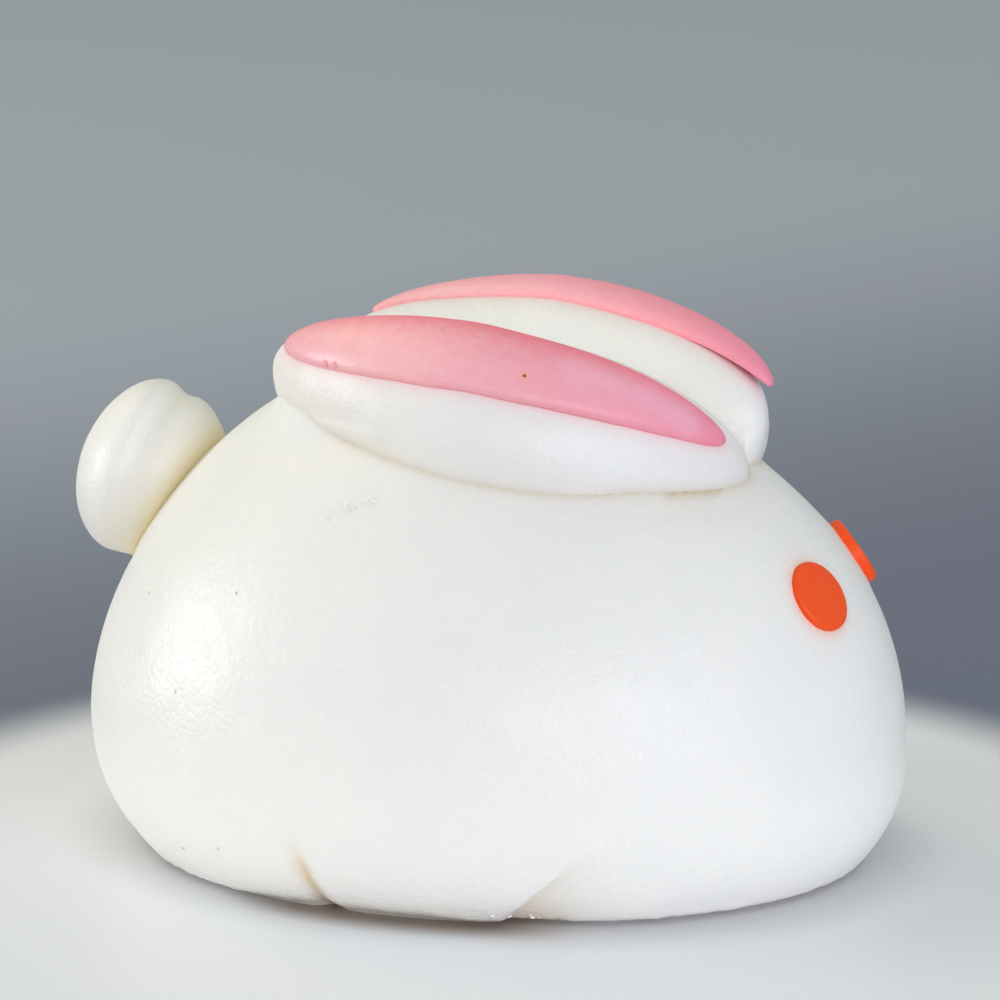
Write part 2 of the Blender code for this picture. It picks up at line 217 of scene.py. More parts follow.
# Relief of each kind of piece, in millimetres: size and height of its lumps, then of its ripples.
RELIEF_SIZES = {
    "body": (17, 0.32, 4.5, 0.07),
    "ear": (9, 0.16, 3, 0.04),
    "slip": (7, 0.12, 1.8, 0.035),
    "disc": (3, 0.06, 0.9, 0.012),
    "tail": (8, 0.22, 3, 0.04),
}
RELIEF_SEEDS = {"body": 4, "ear": 21, "slip": 29, "disc": 37, "tail": 50}
# How far the hidden back of a pressed-on piece stays under the body's surface.
SETTLE_DEPTHS = {"ear": 1.0 * MM, "disc": 0.3 * MM, "tail": 0.4 * MM}
# Inputs that may not be zero, even where a piece has no such feature.
SPARE_SIZES = dict.fromkeys(("Flat Foot", "Wrinkle Size", "Scratch Width", "Soft Reach"), MM)
BODY_RELIEF = {
    "Flat Foot": 1.5 * MM,  # the height below which the relief fades out
    "Wrinkle Centre": mm(-6.0, -19.5, 32.5),
    "Wrinkle Reach": 11.0 * MM,
    "Wrinkle Size": 2.2 * MM,
    "Wrinkle Height": 0.06 * MM,
    "Scratch Start": mm(*SCRATCH[0]),
    "Scratch End": mm(*SCRATCH[1]),
    "Scratch Width": 0.9 * MM,
    "Scratch Height": 0.26 * MM,
}
EAR_RIDGE = {  # a faint raised line above the near ear's seam
    "Scratch Start": mm(-8.4, -13.9, 38.0),
    "Scratch End": mm(-3.4, -16.7, 37.8),
    "Scratch Width": 0.9 * MM,
    "Ridge Height": 0.16 * MM,
}
BODY_SOFT_END = {  # where the near ear's rear end has grown into the back
    "Soft End": mm(-12.5, -10.5, 37.6),
    "Soft Reach": 9.0 * MM,
    "Soft Rise": 1.6 * MM,
    "Soft Fade": 0.95,
}
EAR_SOFT_END = {**BODY_SOFT_END, "Soft Rise": 0.3 * MM}
# Seams, in the order in which they are pressed: piece, the pieces beside it, mark, then reach of
# the mark, rise of the fillet and reach of that rise in millimetres, and the softened end.
SEAMS = (
    ("body", "ear_right ear_left", "ear_seam", (1.0, 0.10, 0.80), BODY_SOFT_END),
    ("body", "eye_right eye_left", "eye_seam", (0.65, 0.10, 0.40), {}),
    ("body", "tail", "tail_seam", (1.0, 0.20, 0.5), {}),
    ("tail", "body", "body_seam", (1.8, 0.0, 1.0), {}),
    ("ear_right", "body", "body_seam", (1.0, 0.0, 1.0), EAR_SOFT_END),
    ("ear_right", "inner_ear_right", "slip_seam", (0.9, 0.0, 1.0), {}),
    ("inner_ear_right", "ear_right", "ear_seam", (0.35, 0.0, 1.0), {}),
    ("ear_left", "body", "body_seam", (1.0, 0.0, 1.0), EAR_SOFT_END),
    ("ear_left", "inner_ear_left", "slip_seam", (0.9, 0.0, 1.0), {}),
    ("inner_ear_left", "ear_left", "ear_seam", (0.35, 0.0, 1.0), {}),
)

# Marks set round lines: pieces by the start of their name, mark, and for each line its two ends,
# its reach and its strength, with places and reaches in millimetres.
LINE_MARKS = (
    (
        "body", "damp",
        (((26.0, -8.0, 34.0), (31.0, -3.0, 25.5), 5.0, 1.0),
         ((26.0, 9.0, 33.0), (29.0, 10.0, 27.0), 5.0, 0.7),
         ((-22.0, -18.0, 22.5), (-14.0, -25.5, 12.0), 9.0, 0.45)),
    ),
    ("body", "scratch", ((*SCRATCH, 0.7, 1.0),)),
    ("ear", "rear_end", (((-16.0, -8.0, 38.0), (-6.0, -17.0, 38.5), 5.5, 1.0),)),
    # gloss lowers the slips' roughness and also lays a painted pale pink sheen in their colour
    (
        "inner_ear", "gloss",
        (((12.5, -13.2, 43.2), (20.6, -8.6, 38.8), 1.9, 1.0),
         ((-13.5, -9.0, 42.5), (-8.0, -13.5, 43.5), 2.2, 0.8),
         ((12.0, 13.0, 42.0), (18.0, 10.5, 40.5), 1.8, 0.7)),
    ),
    ("inner_ear", "pore_ring", ((SLIP_PORE, SLIP_PORE, 0.42, 1.0),)),
)
# Marks on stretches along the near ear's seam and the foot: another mark that they follow, and for
# each stretch where it starts and ends along x in millimetres and its strength.
STRETCH_MARKS = {
    # painted shade: darker stretches along the seam under the near ear
    "brown_seam": ("ear_seam", ((18.8, 23.6, 1.0), (4.0, 9.0, 0.25))),
    "crumb_stretch": (None, ((11.0, 15.2, 1.0), (17.0, 18.8, 0.5), (-9.0, -8.4, 0.6),
                             (-7.8, -6.2, 0.5), (-4.2, -2.6, 0.6))),
    "foot_stretch": (None, ((6.0, 13.5, 1.0), (16.5, 18.0, 0.6), (-3.0, -1.6, 0.5))),
}
END_SHARE = 0.35  # of a stretch, over which its mark fades at each end
LONGEST_END = 0.8  # in millimetres, as are the next three
SLIP_SIDE_REACH = 2.6  # over which a slip's colour changes towards either side
ROSE_FROM = -4.0  # the slips turn rose between these two places along x
ROSE_FULL = 22.0

# Strewn crumbs, each with its inputs in this order.
CRUMB_INPUTS = ("Mark", "Stretch Mark", "Least Mark", "Density", "Least Size", "Most Size", "Seed")
CRUMB_LINES = {
    "seam_crumbs": ("ear_seam", "crumb_stretch", 0.86, 4.0e6, *mm(0.10, 0.30), 2),
    "foot_crumbs": ("foot", "foot_stretch", 0.70, 6.0e5, *mm(0.20, 0.55), 6),
    "scratch_crumbs": ("scratch", "scratch", 0.30, 6.0e6, *mm(0.18, 0.60), 9),
}
# Small lenses set into a surface: the piece that carries them, their finish, their inputs in this
# order, and their places. A place on the flank is a bearing in degrees and a height.
SPOT_INPUTS = ("Least Size", "Most Size", "Thickness", "Stretch", "Seed")
SPOTS = {
    "bran_specks": (
        "body", "bran", (*mm(0.15, 0.27, 0.05), 1.4, 3),
        ((-127.0, 17.5), (-117.7, 25.8), (-130.3, 3.7), (-141.6, 23.9), (-120.3, 4.9),
         (58.0, 14.0), (118.0, 23.0), (160.0, 9.0), (20.0, 8.0)),
    ),
    "skin_blisters": (
        "body", "crumb", (*mm(0.24, 0.36, 0.12), 1.1, 5),
        ((-121.5, 31.5), (-133.0, 30.0), (-127.5, 28.0), (-58.0, 24.0), (75.0, 29.0), (140.0, 22.0)),
    ),
    "slip_bubbles": (
        "inner_ear_right", "bubble", (*mm(0.45, 0.60, 0.30), 1.1, 7),
        ((-7.94, -14.71, 43.07), (-6.96, -15.28, 43.09)),
    ),
    # the pore is a dark lens on the slip: painted shade where the pore's hollow is
    "slip_pore": ("inner_ear_right", "pore", (*mm(0.30, 0.32, 0.06), 1.0, 8), (SLIP_PORE,)),
}

# ---- stage, lights and camera
FLOOR_RADIUS = 4.0
FLOOR_SHADER = {"Roughness": 0.38, "Specular IOR Level": 0.35}
FLOOR_PALE = (0.90, 0.92, 0.96)
FLOOR_DUSK = (0.112, 0.127, 0.210)  # past the pale part
FLOOR_GREY = (0.385, 0.430, 0.520)  # and far off on the left
DUSK_TURN = 1.5  # the dusk turns to grey along y less this share of x
GREY_FROM = 42 * MM  # where that change starts and ends
GREY_FULL = 420 * MM
# Shade close round the foot, where little light gets in: colour, strength, from which share of the
# foot's own outline to which it fades, and from how far off along x to how far.
FOOT_MIDDLE = 2.9 * MM
FOOT_REACH = (30.5 * MM, 23.4 * MM)
FLOOR_SHADES = (
    ((0.46, 0.45, 0.46), 0.60, (0.98, 1.30), (50 * MM, 60 * MM)),
    ((0.24, 0.180, 0.14), 0.90, (1.00, 1.17), (7 * MM, 17 * MM)),
)
POOL_SHIFT = (3 * MM, -6 * MM)  # middle of the pale part, from the middle of the bun
POOL_INNER = 52 * MM  # where the pale part starts and ends fading
POOL_OUTER = 66 * MM
WORLD_COLOUR = (0.94, 1.0, 0.96)
WORLD_STRENGTH = 0.51
# Softboxes: name, azimuth, elevation, distance, width and height, brightness, colour.
LIGHTS = (
    ("window_left", -165, 8, 0.8, (0.40, 0.36), 8.26, (0.967, 0.969, 1.0)),
    ("window_right", -40, 8, 0.8, (0.40, 0.36), 7.24, (0.70, 0.76, 1.0)),
    ("front_right", -65, 8, 0.8, (0.40, 0.36), 2.99, (1.0, 0.886, 0.682)),
    ("back_left", 150, 50, 0.8, (0.40, 0.40), 1.85, (1.0, 0.805, 0.432)),
)
CAMERA_AZIMUTH = radians(15.5)  # turned from straight along +Y
CAMERA_ELEVATION = radians(13.0)
CAMERA_DISTANCE = 350 * MM
CAMERA_LENS = 151.2
SENSOR_WIDTH = 36.0
CAMERA_RANGE = (0.01, 20.0)
CAMERA_AIM = Vector((1.07, 0.64, 5.76)) * MM  # from the middle of the solids' box


# ==== node trees
def feed_node(node, values):
    """Feed a node's inputs by name or number."""
    for label, value in values.items():
        plug(node.id_data, value, node.inputs[label])


def plug(tree, value, socket):
    """Feed a socket from a wire, or set it to a plain value. Plain colours are opaque."""
    if isinstance(value, Wire):
        tree.links.new(value.socket, socket)
    else:
        socket.default_value = (*value, 1.0) if socket.type == "RGBA" else value


def lay(tree, kind, inputs=None, **settings):
    """Add a node to a tree and feed its inputs by name or number."""
    node = tree.nodes.new(kind)
    for label, value in settings.items():
        setattr(node, label, value)
    feed_node(node, inputs or {})
    return node


def arithmetic(operation):
    """A wire's own method for one kind of sum."""
    return lambda self, other: self.combine(operation, other)


class Wire:
    """A value inside a node tree, on which ordinary arithmetic lays down the nodes."""

    def __init__(self, tree, socket):
        self.tree = tree
        self.socket = socket

    def feed(self, kind, inputs, output=0, **settings):
        return Wire(self.tree, lay(self.tree, kind, inputs, **settings).outputs[output])

    def is_vector(self):
        return self.socket.type == "VECTOR"

    def math(self, operation, *others):
        return self.feed("ShaderNodeMath", dict(enumerate((self, *others))), operation=operation)

    def vector_math(self, operation, other=None):
        second = {} if other is None else {"Scale" if operation == "SCALE" else 1: other}
        is_number = operation in ("DOT_PRODUCT", "LENGTH", "DISTANCE")
        output = "Value" if is_number else "Vector"
        return self.feed("ShaderNodeVectorMath", {0: self, **second}, output, operation=operation)

    def combine(self, operation, other):
        if not self.is_vector():
            return self.math(operation, other)
        scales = operation == "MULTIPLY" and not (isinstance(other, Wire) and other.is_vector())
        return self.vector_math("SCALE" if scales else operation, other)

    __add__ = __radd__ = arithmetic("ADD")
    __mul__ = __rmul__ = arithmetic("MULTIPLY")
    __sub__ = arithmetic("SUBTRACT")
    __truediv__ = arithmetic("DIVIDE")

    def __rsub__(self, other):
        return self * -1.0 + other

    def __rtruediv__(self, other):
        return self**-1.0 * other

    def __pow__(self, power):
        return self.math("POWER", power)

    def part(self, index):
        return self.feed("ShaderNodeSeparateXYZ", {0: self}, index)

    def smooth_step(self, low, high):
        """0 below low and 1 above high, with a soft climb between."""
        limits = {"Value": self, "From Min": low, "From Max": high}
        return self.feed("ShaderNodeMapRange", limits, interpolation_type="SMOOTHSTEP")


SOCKET_KINDS = {
    "shape": "NodeSocketGeometry",
    "number": "NodeSocketFloat",
    "count": "NodeSocketInt",
    "place": "NodeSocketVector",
    "word": "NodeSocketString",
    "finish": "NodeSocketMaterial",
    "piece": "NodeSocketObject",
    "pieces": "NodeSocketCollection",
}


class Board:
    """A node tree that is being wired up."""

    def __init__(self, tree):
        self.tree = tree

    def add(self, kind, inputs=None, output=0, **settings):
        """Add a node and return one of its outputs."""
        return Wire(self.tree, lay(self.tree, kind, inputs, **settings).outputs[output])

    def place(self, x, y, z):
        return self.add("ShaderNodeCombineXYZ", {0: x, 1: y, 2: z})

    def use(self, group, inputs):
        """Place a group and return its node."""
        kind = "ShaderNodeGroup" if group.bl_idname == "ShaderNodeTree" else "GeometryNodeGroup"
        return lay(self.tree, kind, inputs, node_tree=group)

    def out(self, node, label):
        return Wire(self.tree, node.outputs[label])

    def set_shader(self, values):
        feed_node(self.tree.nodes["Principled BSDF"], values)


class Group(Board):
    """A node group. Its inputs and outputs are listed as in "place: Start, End; number: Width"."""

    def __init__(self, name, kind, inputs, outputs):
        super().__init__(bpy.data.node_groups.new(name, kind))
        for side, text in (("INPUT", inputs), ("OUTPUT", outputs)):
            for part in text.split("; "):
                sort, labels = part.split(": ")
                for label in labels.split(", "):
                    self.tree.interface.new_socket(
                        name=label, in_out=side, socket_type=SOCKET_KINDS[sort]
                    )
        self.entry = self.tree.nodes.new("NodeGroupInput")
        self.exit = self.tree.nodes.new("NodeGroupOutput")

    def __getitem__(self, label):
        return Wire(self.tree, self.entry.outputs[label])

    def give(self, label, value):
        plug(self.tree, value, self.exit.inputs[label])

    def position(self):
        return self.add("GeometryNodeInputPosition")

    def normal(self):
        return self.add("GeometryNodeInputNormal")

    def move(self, shape, label, value):
        """Move a shape's points, where the label says whether by an offset or to a position."""
        return self.add("GeometryNodeSetPosition", {"Geometry": shape, label: value})


def geometry_group(name, inputs):
    return Group(name, "GeometryNodeTree", inputs, "shape: Geometry")


def finish_tree(group, shape):
    """End a tree the usual way: smooth, realized and with its material set."""
    shape = group.add("GeometryNodeSetShadeSmooth", {"Geometry": shape})
    shape = group.add("GeometryNodeRealizeInstances", {0: shape})
    shape = group.add("GeometryNodeSetMaterial", {"Geometry": shape, "Material": group["Material"]})
    group.give("Geometry", shape)
    return group.tree


def grow(item, tree, values):
    """Run a tree on an item and keep what comes out as the item's own plain mesh."""
    modifier = item.modifiers.new(tree.name, "NODES")
    modifier.node_group = tree
    for socket in tree.interface.items_tree:
        if socket.in_out == "INPUT" and socket.name in values:
            modifier[socket.identifier] = values[socket.name]
    graph = bpy.context.evaluated_depsgraph_get()
    mesh = bpy.data.meshes.new_from_object(
        item.evaluated_get(graph), preserve_all_data_layers=True, depsgraph=graph
    )
    item.modifiers.remove(modifier)
    mesh.name = item.name
    item.data = mesh
    return item


# ---- rolls and slips of dough
LEAST_FULLNESS = 0.05  # so that the slip is never turned round nothing at a roll's end
SMALL_STEP = 0.002  # over which the slope of a roll's surface is taken
ROLL_PLACES = "Rear, Bow, Front"
ROLL_NUMBERS = (
    "Half Width, Half Height, Section Power, Rear Power, Front Power, Front Under Power, Roll, Side, "
    "Middle Gap"
)
ROLL_INPUTS = f"place: {ROLL_PLACES}; number: {ROLL_NUMBERS}"


def roll_sizes(group):
    """A group's own inputs that give the size of a roll, by name."""
    return {label: group[label] for label in f"{ROLL_PLACES}, {ROLL_NUMBERS}".split(", ")}


def roll_surface_group():
    """A point on a dough roll, from its share of the length and its turn round the section.

    Turn is 0 outboard and a quarter turn on top."""
    inputs = f"number: Along, Turn; {ROLL_INPUTS}"
    group = Group("roll_surface", "GeometryNodeTree", inputs, "place: Point; number: Fullness")
    along = group["Along"]
    back = 1.0 - along
    rear_pull = group["Rear"] * (back * back)
    bow_pull = group["Bow"] * (along * back * 2.0)
    front_pull = group["Front"] * (along * along)
    centre = rear_pull + bow_pull + front_pull
    offset = along * 2.0 - 1.0
    is_rear = offset.math("LESS_THAN", 0.0)
    upright = group["Turn"].math("SINE")
    under = (upright * -1.0).math("MAXIMUM", 0.0)
    front_power = group["Front Power"] + (group["Front Under Power"] - group["Front Power"]) * under
    end_power = front_power + (group["Rear Power"] - front_power) * is_rear
    fullness = (1.0 - offset.math("ABSOLUTE") ** end_power).math("MAXIMUM", 0.0).math("SQRT")
    power = group["Section Power"]
    level = group["Turn"].math("COSINE")
    size = level.math("ABSOLUTE") ** power + upright.math("ABSOLUTE") ** power
    reach = fullness * size ** (-1.0 / power)
    outboard = group["Half Width"] * reach * level
    upward = group["Half Height"] * reach * upright
    roll_cos = group["Roll"].math("COSINE")
    roll_sin = group["Roll"].math("SINE")
    across = centre.part(1) + outboard * roll_cos + upward * roll_sin
    across = across.math("MAXIMUM", group["Middle Gap"])
    height = centre.part(2) - outboard * roll_sin + upward * roll_cos
    group.give("Point", group.place(centre.part(0), across * group["Side"], height))
    group.give("Fullness", fullness)
    return group.tree


def unit_grid(group, rows, columns):
    """A grid with its share along the first side and its turn round the second."""
    shape = group.add(
        "GeometryNodeMeshGrid",
        {"Size X": 1.0, "Size Y": 1.0, "Vertices X": rows, "Vertices Y": columns},
    )
    position = group.position()
    share = (1.0 - ((position.part(0) + 0.5) * pi).math("COSINE")) * 0.5
    turn = (position.part(1) + 0.5) * FULL_TURN
    return shape, share, turn


def close_grid(group, shape, point):
    """Lay a grid out on its points and weld its seam and its two poles shut."""
    shape = group.move(shape, "Position", point)
    return group.add("GeometryNodeMergeByDistance", {"Geometry": shape, "Distance": WELD_REACH})


def dough_roll_tree(surface):
    """A roll of dough with a round rear end and a blunt front end."""
    group = geometry_group("dough_roll", f"count: Rows, Columns; {ROLL_INPUTS}; finish: Material")
    shape, share, turn = unit_grid(group, group["Rows"], group["Columns"])
    roll = group.use(surface, {"Along": share, "Turn": turn, **roll_sizes(group)})
    return finish_tree(group, close_grid(group, shape, group.out(roll, "Point")))


def dough_slip_tree(surface):
    """A thin leaf of dough that lies on a roll, with a blunt rounded edge."""
    group = geometry_group(
        "dough_slip",
        f"count: Rows, Columns; {ROLL_INPUTS}; place: Slip Turns; number: First, Last, "
        "Slip Half Width, Thickness, Sink, Lift Start, Tip Lift, Tip Power, Edge Power; "
        "finish: Material",
    )
    sizes = roll_sizes(group)

    def on_roll(label, along, turn):
        return group.out(group.use(surface, {"Along": along, "Turn": turn, **sizes}), label)

    shape, share, turn = unit_grid(group, group["Rows"], group["Columns"])
    along = group["First"] + (group["Last"] - group["First"]) * share
    taper = 1.0 - (share * 2.0 - 1.0).math("ABSOLUTE") ** group["Tip Power"]
    width = taper.math("MAXIMUM", 0.0).math("SQRT")

    back = 1.0 - along
    turns = group["Slip Turns"]
    lean = turns.part(0) * back * back + turns.part(1) * along * back * 2.0
    lean = lean + turns.part(2) * along * along
    fullness = on_roll("Fullness", along, 0.0).math("MAXIMUM", LEAST_FULLNESS)
    radius = (group["Half Width"] + group["Half Height"]) * 0.5 * fullness
    half_turn = group["Slip Half Width"] * width / radius

    blunt = 2.0 / group["Edge Power"]
    level = turn.math("COSINE")
    upright = turn.math("SINE")
    across = level.math("SIGN") * level.math("ABSOLUTE") ** blunt
    lift = upright.math("ABSOLUTE") ** blunt
    above = upright.math("GREATER_THAN", 0.0)
    depth = group["Thickness"] * above - group["Sink"] * (1.0 - above)
    lifted = (share - group["Lift Start"]).math("MAXIMUM", 0.0) / (1.0 - group["Lift Start"])
    height = depth * lift * width.math("SQRT") + group["Tip Lift"] * lifted * lifted
    place_turn = pi / 2 - lean - half_turn * across

    here = on_roll("Point", along, place_turn)
    lengthwise = on_roll("Point", along + SMALL_STEP, place_turn) - here
    sideways = on_roll("Point", along, place_turn + SMALL_STEP) - here
    outward = sideways.vector_math("CROSS_PRODUCT", lengthwise).vector_math("NORMALIZE")
    point = here + outward * (height * group["Side"])
    return finish_tree(group, close_grid(group, shape, point))


# ---- relief, seams and trimming
CREASE_SHARPNESS = 3.0  # higher leaves narrower creases in the wrinkled patch


def segment_distance(group, position, start, end):
    """Distance from a place to the straight line between two others."""
    run = end - start
    share = (position - start).vector_math("DOT_PRODUCT", run)
    share = share / run.vector_math("DOT_PRODUCT", run)
    share = share.math("MAXIMUM", 0.0).math("MINIMUM", 1.0)
    return position.vector_math("DISTANCE", start + run * share)


def unevenness(group, size, seed, detail):
    """A wavy field between about -1 and 1 whose waves are about as long as size."""
    noise = group.add(
        "ShaderNodeTexNoise",
        {"W": seed, "Scale": 1.0 / size, "Detail": detail},
        noise_dimensions="4D",
    )
    return (noise - 0.5) * 2.0


def dough_relief_tree():
    """Lumps, ripples, a wrinkled patch and a scratch, pushed into a dough surface."""
    group = geometry_group(
        "dough_relief",
        "shape: Geometry; number: Lump Size, Lump Height, Ripple Size, Ripple Height, Flat Foot; "
        "place: Wrinkle Centre; number: Wrinkle Reach, Wrinkle Size, Wrinkle Height; "
        "place: Scratch Start, Scratch End; number: Scratch Width, Scratch Height, Ridge Height, Seed; "
        "finish: Material",
    )
    position = group.position()
    normal = group.normal()
    seed = group["Seed"]
    height = unevenness(group, group["Lump Size"], seed, 1.0) * group["Lump Height"]
    ripples = unevenness(group, group["Ripple Size"], seed + 3.0, 2.0)
    height = height + ripples * group["Ripple Height"]

    centre_distance = position.vector_math("DISTANCE", group["Wrinkle Centre"])
    patch = 1.0 - centre_distance.smooth_step(0.0, group["Wrinkle Reach"])
    wrinkles = unevenness(group, group["Wrinkle Size"], seed + 7.0, 2.0)
    creases = 1.0 - wrinkles.math("ABSOLUTE") * CREASE_SHARPNESS
    height = height - creases.math("MAXIMUM", 0.0) * patch * group["Wrinkle Height"]

    scratch_distance = segment_distance(group, position, group["Scratch Start"], group["Scratch End"])
    scratch = 1.0 - scratch_distance.smooth_step(0.0, group["Scratch Width"])
    flecks = unevenness(group, group["Scratch Width"] * 0.5, seed + 11.0, 1.0)
    height = height + flecks * scratch * group["Scratch Height"] + scratch * group["Ridge Height"]

    height = height * position.part(2).smooth_step(0.0, group["Flat Foot"])
    return finish_tree(group, group.move(group["Geometry"], "Offset", normal * height))


def fade_over(distance, reach):
    """1 at no distance, fading off further away."""
    return (distance / reach * -1.0).math("EXPONENT")


def pressed_seam_tree():
    """Mark how near a surface runs to other pieces, and draw it up to them in a small fillet."""
    group = geometry_group(
        "pressed_seam",
        "shape: Geometry; pieces: Pieces; word: Mark; number: Mark Reach, Rise, Rise Reach; "
        "place: Soft End; number: Soft Reach, Soft Rise, Soft Fade; finish: Material",
    )
    pieces = group.add("GeometryNodeCollectionInfo", {0: group["Pieces"]}, transform_space="ORIGINAL")
    pieces = group.add("GeometryNodeRealizeInstances", {0: pieces})
    distance = group.add("GeometryNodeProximity", {0: pieces}, output="Distance", target_element="FACES")
    position = group.position()
    normal = group.normal()
    end_distance = position.vector_math("DISTANCE", group["Soft End"])
    softness = 1.0 - end_distance.smooth_step(0.0, group["Soft Reach"])
    closeness = fade_over(distance, group["Mark Reach"])
    closeness = closeness * (1.0 - softness * group["Soft Fade"])
    shape = group.add(
        "GeometryNodeStoreNamedAttribute",
        {"Geometry": group["Geometry"], "Name": group["Mark"], "Value": closeness},
        data_type="FLOAT",
        domain="POINT",
    )
    rise = group["Rise"] + group["Soft Rise"] * softness
    reach = group["Rise Reach"] * (1.0 + softness * 2.0)
    height = rise * fade_over(distance, reach)
    return finish_tree(group, group.move(shape, "Offset", normal * height))


def nearest_on_base(group):
    """The place on a group's base piece that is nearest to each point, and the way it faces."""
    base = group.add("GeometryNodeObjectInfo", {0: group["Base"]}, output="Geometry")
    nearest = group.add("GeometryNodeProximity", {0: base}, output="Position", target_element="FACES")
    facing = group.add(
        "GeometryNodeSampleNearestSurface",
        {"Mesh": base, "Value": group.normal()},
        output="Value",
        data_type="FLOAT_VECTOR",
    )
    return nearest, facing


def settle_tree():
    """Draw the hidden back of a pressed-on piece up to just under the surface that carries it."""
    inputs = "shape: Geometry; piece: Base; number: Depth; finish: Material"
    group = geometry_group("settle", inputs)
    position = group.position()
    nearest, facing = nearest_on_base(group)
    under = (position - nearest).vector_math("DOT_PRODUCT", facing)
    too_deep = under.math("LESS_THAN", group["Depth"] * -1.0)
    kept = nearest - facing * group["Depth"]
    offset = (kept - position) * too_deep
    return finish_tree(group, group.move(group["Geometry"], "Offset", offset))


# ---- crumbs, specks and blisters
CRUMB_SEED = 2.0
CRUMB_DENT_SCALE = 1.6
CRUMB_DENT_DEPTH = 0.9
CRUMB_SQUASH = {0: (0.6, 0.6, 0.35), 1: (1.3, 1.0, 0.7)}  # least and most


def crumb_shape(group):
    """One irregular crumb about one unit across."""
    crumb = group.add("GeometryNodeMeshIcoSphere", {"Radius": 0.5, "Subdivisions": 2})
    dents = group.add(
        "ShaderNodeTexNoise",
        {"W": CRUMB_SEED, "Scale": CRUMB_DENT_SCALE, "Detail": 1.0},
        output="Color",
        noise_dimensions="4D",
    )
    offset = dents.vector_math("SUBTRACT", (0.5, 0.5, 0.5)) * CRUMB_DENT_DEPTH
    return group.move(crumb, "Offset", offset)


def random_size(group, favour_small):
    """A size between a group's least and most, for each point on its own."""
    share = group.add(
        "FunctionNodeRandomValue", {2: 0.0, 3: 1.0, "Seed": group["Seed"]}, output=1, data_type="FLOAT"
    )
    spread = (group["Most Size"] - group["Least Size"]) * share
    return group["Least Size"] + (spread * share if favour_small else spread)


def crumbs_tree():
    """Crumbs strewn on a surface where one of its marks is strong."""
    group = geometry_group(
        "crumbs_on_mark",
        "shape: Geometry; word: Mark, Stretch Mark; number: Least Mark, Density, Least Size, "
        "Most Size; count: Seed; finish: Material",
    )
    mark = group.add("GeometryNodeInputNamedAttribute", {"Name": group["Mark"]}, data_type="FLOAT")
    stretch = group.add(
        "GeometryNodeInputNamedAttribute", {"Name": group["Stretch Mark"]}, data_type="FLOAT"
    )
    density = group["Density"] * mark.math("GREATER_THAN", group["Least Mark"]) * stretch
    spots = lay(
        group.tree,
        "GeometryNodeDistributePointsOnFaces",
        {"Mesh": group["Geometry"], "Density": density, "Seed": group["Seed"]},
    )
    size = random_size(group, favour_small=True)
    squash = group.add(
        "FunctionNodeRandomValue",
        {**CRUMB_SQUASH, "Seed": group["Seed"]},
        data_type="FLOAT_VECTOR",
    )
    shape = group.add(
        "GeometryNodeInstanceOnPoints",
        {
            "Points": group.out(spots, "Points"),
            "Instance": crumb_shape(group),
            "Rotation": group.out(spots, "Rotation"),
            "Scale": squash * size,
        },
    )
    return finish_tree(group, shape)


def spots_tree():
    """Small flat lens shapes set into a surface at given places."""
    group = geometry_group(
        "spots_on_surface",
        "shape: Geometry; piece: Base; number: Least Size, Most Size, Stretch, Thickness; "
        "count: Seed; finish: Material",
    )
    nearest, facing = nearest_on_base(group)
    size = random_size(group, favour_small=False)
    shape = group.move(group["Geometry"], "Position", nearest)
    turned = group.add("FunctionNodeAlignRotationToVector", {"Vector": facing}, axis="Z")
    lens = group.add("GeometryNodeMeshIcoSphere", {"Radius": 0.5, "Subdivisions": 3})
    shape = group.add(
        "GeometryNodeInstanceOnPoints",
        {
            "Points": shape,
            "Instance": lens,
            "Rotation": turned,
            "Scale": group.place(size, size * group["Stretch"], group["Thickness"]),
        },
    )
    return finish_tree(group, shape)


# ==== dough shapes
def bell(value):
    """1 where a value is zero, falling off softly to both sides of it."""
    return np.exp(-(value**2))


def turn_from(line, bearing):
    """The turn from a line's bearing to another, between minus and plus half a turn."""
    return (bearing - line + pi) % FULL_TURN - pi


def soft_power(value, power, rounding):
    """The power of a value's size, rounded off near zero so that no kink is left there."""
    return (value * value + rounding * rounding) ** (power / 2) - rounding**power


def profile_power(value, power):
    """A soft power that is 1 for a value of 1, so that curves of different power meet evenly."""
    return soft_power(value, power, PROFILE_ROUNDING) / soft_power(1.0, power, PROFILE_ROUNDING)


def round_bearing(bearing, sizes):
    """Blend the front, rear and side values of a size around the upright axis."""
    ahead = np.maximum(np.cos(bearing), 0.0) ** 2
    behind = np.maximum(-np.cos(bearing), 0.0) ** 2
    side = sizes["side"]
    return side + (sizes["front"] - side) * ahead + (sizes["rear"] - side) * behind


def plan_radius(bearing):
    """Distance from the upright axis to the waist line, seen from above."""
    radii = []
    for reach, power in ((FRONT_REACH, FRONT_PLAN_POWER), (REAR_REACH, REAR_PLAN_POWER)):
        along = soft_power(np.cos(bearing), power, PLAN_ROUNDING) / reach**power
        across = soft_power(np.sin(bearing), power, PLAN_ROUNDING) / HALF_WIDTH**power
        radii.append((along + across) ** (-1 / power))
    ahead = np.clip(np.cos(bearing) + 0.5, 0.0, 1.0)
    ahead = ahead * ahead * (3 - 2 * ahead)
    return radii[0] * ahead + radii[1] * (1 - ahead)


